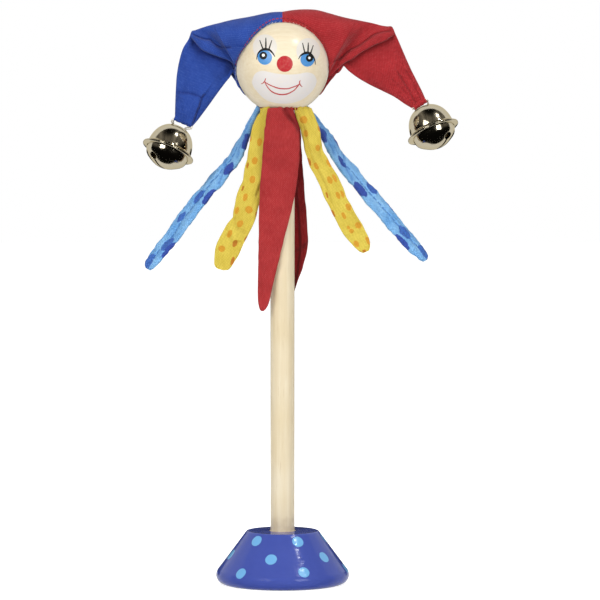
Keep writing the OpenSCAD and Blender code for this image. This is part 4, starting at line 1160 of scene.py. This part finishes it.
def down_strip(rows):
    """A strip's middle line, half its width there, and the ways to its side and out of its face."""
    raised = [(x, y, NECK_HEIGHT + z, width, looks) for x, y, z, width, looks in rows]
    fine = curve(raised, np.linspace(0, len(rows) - 1, 330))
    path, looks = fine[:, :3], np.radians(fine[:, 4])
    way = np.gradient(path, axis=0)
    way /= np.linalg.norm(way, axis=1)[:, None]
    side = np.cross(np.stack([np.cos(looks), np.sin(looks), np.zeros(len(fine))], axis=1), way)
    side /= np.linalg.norm(side, axis=1)[:, None]
    return path, fine[:, 3:4] / 2, side, np.cross(way, side)


def pleated(strip, x, z):
    """How far a strip's pleats push each point out of its face, in mm, and how much painted shade
    they give it: a dark line in each pleat, and past a deep pleat a band of painted shade."""
    lift, dark = np.zeros(x.shape), np.zeros(x.shape)
    for line, step, depth in strip.get("pleats", ()):
        away = past_line(x, z, line)
        lift -= step * drop(away, 0.7, 5) + depth * groove(away, 0.7)
        shade = (abs(step) > 1) * np.clip(away, 0, 1) * np.clip(1 - (away - 1.6) / 1.2, 0, 1)
        # Painted shade along each pleat's line, and a band of it just past a deep pleat
        dark = np.maximum(dark, strip["rubbing_and_painted_shade"] * groove(away, 0.7) + shade)
    return lift, dark


def marks_on_cloth(strip, points, uvs, seen):
    """The print's marks, moved from where they show from the front to their place on the cloth.
    `seen` lists the points of the face that shows."""
    shown = points[seen][:, (0, 2)]
    marks = []
    for x, z, *size_and_ink in strip.get("print", ()):
        nearest = seen[np.argmin(np.linalg.norm(shown - (x, NECK_HEIGHT + z), axis=1))]
        marks.append((*uvs[nearest], *size_and_ink))
    return marks


def strip_cloth(name, marks):
    """The cotton that a strip is cut from. Each printed strip has marks of its own."""
    kind = name.split("_")[0]
    if kind == "yellow":
        return cotton(f"{name}_yellow_cotton_with_orange_dots", "#e0cc55", "#d2ba45", "#98721f",
                      spots=printed(marks, "#d79a2e", "#bd7422", 0.7))
    if kind == "blue":
        return cotton(f"{name}_light_blue_cotton_with_dark_blots", "#92c6ef", "#68a5de", "#2f66b4",
                      spots=printed(marks, "#4a79c6", "#35489f", 1.3), stitch=middle_seam("#4377bf"))
    if name == "red_front":
        return cotton("brick_red_cotton_strip", "#b43435", "#a42b2c", "#701518")
    # The back strip takes the same brick red darkened as painted shade
    return shaded_red_cloth


def cloth_strip(name, strip):
    """A pressed cloth bag down its rows: thicker along its turned-in edges, gathered at the
    neck, pleated and softly buckled. uv runs across and down it, the same on both faces."""
    path, half, side, face = down_strip(strip["rows"])
    run = run_along(path)
    turn = np.linspace(0, 2 * np.pi, 96, endpoint=False)
    across = (np.sign(np.cos(turn)) * np.abs(np.cos(turn)) ** 0.8)[None, :]
    front = np.sign(np.sin(turn))[None, :]
    seed = sum(ord(letter) for letter in name)
    from_neck, down = np.exp(-run / 5)[:, None], run[:, None]
    x, z = across * half, np.broadcast_to(-down, (len(path), len(turn)))
    # A filled bag dips along its middle seam, a flat one is thickest over its turned-in edges
    puffed = strip["thick"] > 2
    edge = np.abs(np.sin(turn))[None, :] ** (0.75 if puffed else 0.5)
    height = strip["thick"] / 2 * edge * np.minimum(1, half / (3 if puffed else 1.5))
    if puffed:
        height = height * (1 - 0.4 * groove(across, 0.12))
    else:
        height = height * (0.75 + 0.35 * groove(np.abs(across) - 0.84, 0.13))
    gather = (0.1 if puffed else 0.45) * from_neck * np.sin(x * 1.9 + seed)
    cup = 0.5 * (1 - from_neck) * across ** 2 * np.sin(down / 17 + seed)
    lift, dark = pleated(strip, x, z)
    points = (path[:, None, :] + side[:, None, :] * x[..., None]
              + face[:, None, :] * (front * height + gather + cup + lift * edge)[..., None])
    lumps = soft_noise((points.reshape(-1, 3) * (1, 1, 0.8)), 7, seed % 17).reshape(x.shape)
    ripple = soft_noise(points.reshape(-1, 3), 2.4, seed % 13).reshape(x.shape)
    buckle = (0.8 if puffed else 0.7) * lumps
    buckle += (0.5 if puffed else 0.22) * ripple * np.clip(down / 8, 0.2, 1)
    points = points + face[:, None, :] * (buckle * np.clip(half / 4, 0.1, 1))[..., None]
    edge_wave = soft_noise(path, 5, seed % 11)[:, None]
    points = points + side[:, None, :] * (0.3 * edge_wave * across)[..., None]
    points, n, last = points.reshape(-1, 3), len(turn), len(path) - 1
    faces = [(i * n + k, (i + 1) * n + k, (i + 1) * n + (k + 1) % n, i * n + (k + 1) % n)
             for i in range(last) for k in range(n)]
    faces += [tuple(range(n)), tuple(last * n + k for k in range(n))[::-1]]
    uvs = np.stack([x.reshape(-1), np.repeat(run, n)], axis=1)
    seen = np.where((front > 0).repeat(len(path), axis=0).reshape(-1))[0]
    material = strip_cloth(name, marks_on_cloth(strip, points, uvs, seen))
    cloth = object_from(f"{name}_cloth", points, faces, material, uvs)
    mark(cloth, "across", np.tile(across[0], len(path)))
    # Painted shade along the pleats, read by the cloth's material
    mark(cloth, "painted_crease_shade", dark.reshape(-1))
    return cloth


for name, strip in STRIPS.items():
    cloth = cloth_strip(name, strip)
    root = math.radians(strip["root"])
    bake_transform(cloth)
    cloth.visible_glossy = False
    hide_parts(f"{name}_strip")


# ---- Studio ----
# A white sweep and an even white surround, lit by soft boxes beside and above the lens. Dark
# cards before and behind the object show in its reflections only.
world = bpy.data.worlds.new("white_surround")
scene.world = world
world.use_nodes = True
tree = world.node_tree
tree.nodes.clear()
rays = add(tree, "LightPath")
seen = add(tree, "Math", {0: rays.outputs["Is Camera Ray"], 1: rays.outputs["Is Glossy Ray"]},
           operation="MAXIMUM")
seen = add(tree, "Math", {0: seen, 1: rays.outputs["Is Transmission Ray"]}, operation="MAXIMUM")
lit = add(tree, "Background", {"Color": (1, 1, 1, 1), "Strength": 0.36})
backdrop = add(tree, "Background", {"Color": (1, 1, 1, 1), "Strength": 1.0})
sky = add(tree, "MixShader", {0: seen, 1: lit, 2: backdrop})
add(tree, "OutputWorld", {"Surface": sky})


def softbox(name, place, aim, size, power):
    """A rectangular soft box that looks at a point."""
    lamp = bpy.data.lights.new(name, "AREA")
    lamp.shape, lamp.size, lamp.size_y, lamp.energy = "RECTANGLE", size[0], size[1], power
    made = bpy.data.objects.new(name, lamp)
    scene.collection.objects.link(made)
    made.location = place
    made.rotation_euler = (Vector(aim) - Vector(place)).to_track_quat("-Z", "Y").to_euler()
    return made


softbox("key_softbox", (-0.85, -1.3, 1.0), (0, 0, 0.15), (0.66, 0.66), 12.5)
softbox("fill_softbox", (0.85, -1.3, 0.7), (0, 0, 0.15), (0.58, 0.58), 8)
softbox("spark_softbox", (0.7, -0.38, 1.6), (0, 0, 0.02), (0.12, 0.12), 9).visible_diffuse = False
for hidden in (softbox("strip_softbox", (0, -1.7, 0.3), (0, 0, 0.2), (1.0, 0.22), 2.5),
               softbox("top_softbox", (0, -0.35, 1.6), (0, 0, 0.2), (0.8, 0.8), 4.5)):
    hidden.visible_glossy = False

floor_white, tree = new_material("white_sweep")
paper = add(tree, "BsdfDiffuse", {"Color": (0.9, 0.9, 0.9, 1)})
seen = add(tree, "LightPath").outputs["Is Camera Ray"]
strength = add(tree, "Math", {0: seen, 1: 0.8}, operation="MULTIPLY")
glow = add(tree, "Emission", {"Color": (1, 1, 1, 1), "Strength": strength})
add(tree, "OutputMaterial", {"Surface": add(tree, "AddShader", {0: paper, 1: glow})})
floor = object_from("floor", [(-3000, -3000, 0), (3000, -3000, 0), (3000, 3000, 0), (-3000, 3000, 0)],
                    [(0, 1, 2, 3)], floor_white)


def unlit_card():
    """Dark card that glows dimly from 0.6 to 2.1 m above the floor, in upright panels of
    different greys, and is all but black elsewhere."""
    material, tree = new_material("dark_curved_card")
    place = add(tree, "TexCoord").outputs["Object"]
    height = add(tree, "SeparateXYZ", {0: place}).outputs["Z"]
    rising = add(tree, "MapRange", {"Value": height, "From Min": 0.6, "From Max": 1.3},
                 interpolation_type="SMOOTHSTEP")
    fading = add(tree, "MapRange", {"Value": height, "From Min": 2.08, "From Max": 1.75},
                 interpolation_type="SMOOTHSTEP")
    band = add(tree, "Math", {0: rising, 1: fading}, operation="MULTIPLY")
    upright = add(tree, "VectorMath", {0: place, 1: (2.2, 0, 0)}, operation="MULTIPLY")
    panels = add(tree, "TexNoise", {"Vector": upright, "Scale": 1.0, "Detail": 1})
    panels = add(tree, "MapRange", {
        "Value": panels, "From Min": 0.35, "From Max": 0.68, "To Min": 0.1, "To Max": 0.45})
    lit = add(tree, "Math", {0: band, 1: panels, 2: 0.006}, operation="MULTIPLY_ADD")
    glow = add(tree, "Emission", {"Color": srgb("#cfc8be"), "Strength": lit})
    add(tree, "OutputMaterial", {"Surface": glow})
    return material


def curved_card(reach, height, spread, rise, material, rings=23, round_it=48):
    """A bowl of card, everywhere `reach` mm from the point `height` mm above the floor. Its
    middle lies straight before the object and `rise` degrees up, and it spreads `spread`
    degrees to each side of that."""
    points = [(0, -reach, 0)]
    for a in np.radians(np.linspace(0, spread, rings + 1))[1:]:
        wide, before = reach * math.sin(a), reach * math.cos(a)
        points += [(wide * math.sin(b), -before, wide * math.cos(b))
                   for b in np.linspace(0, 2 * math.pi, round_it, endpoint=False)]
    faces = [(0, 1 + k, 1 + (k + 1) % round_it) for k in range(round_it)]
    for ring in range(rings - 1):
        a, b = 1 + ring * round_it, 1 + (ring + 1) * round_it
        faces += [(a + k, b + k, b + (k + 1) % round_it, a + (k + 1) % round_it) for k in range(round_it)]
    up, level = math.sin(math.radians(rise)), math.cos(math.radians(rise))
    points = [(x, y * level + z * up, height - y * up + z * level) for x, y, z in points]
    return object_from("dark_card", points, faces, material)


card_grey = unlit_card()
card = curved_card(1900, 220, 101, 4, card_grey)
low_card = object_from("low_dark_card", [(-500, 600, 2), (500, 600, 2), (500, 600, 165), (-500, 600, 165)],
                       [(0, 1, 2, 3)], card_grey)
for dark in (card, low_card):
    for ray in ("camera", "diffuse", "shadow", "transmission", "volume_scatter"):
        setattr(dark, f"visible_{ray}", False)
floor.visible_glossy = False
# The cups of the bells mirror the studio, not the cloth that hangs over them
for side in ("left", "right"):
    hat[side].visible_glossy = TIP[side]["hem"].visible_glossy = False

scene.view_settings.view_transform = "Standard"
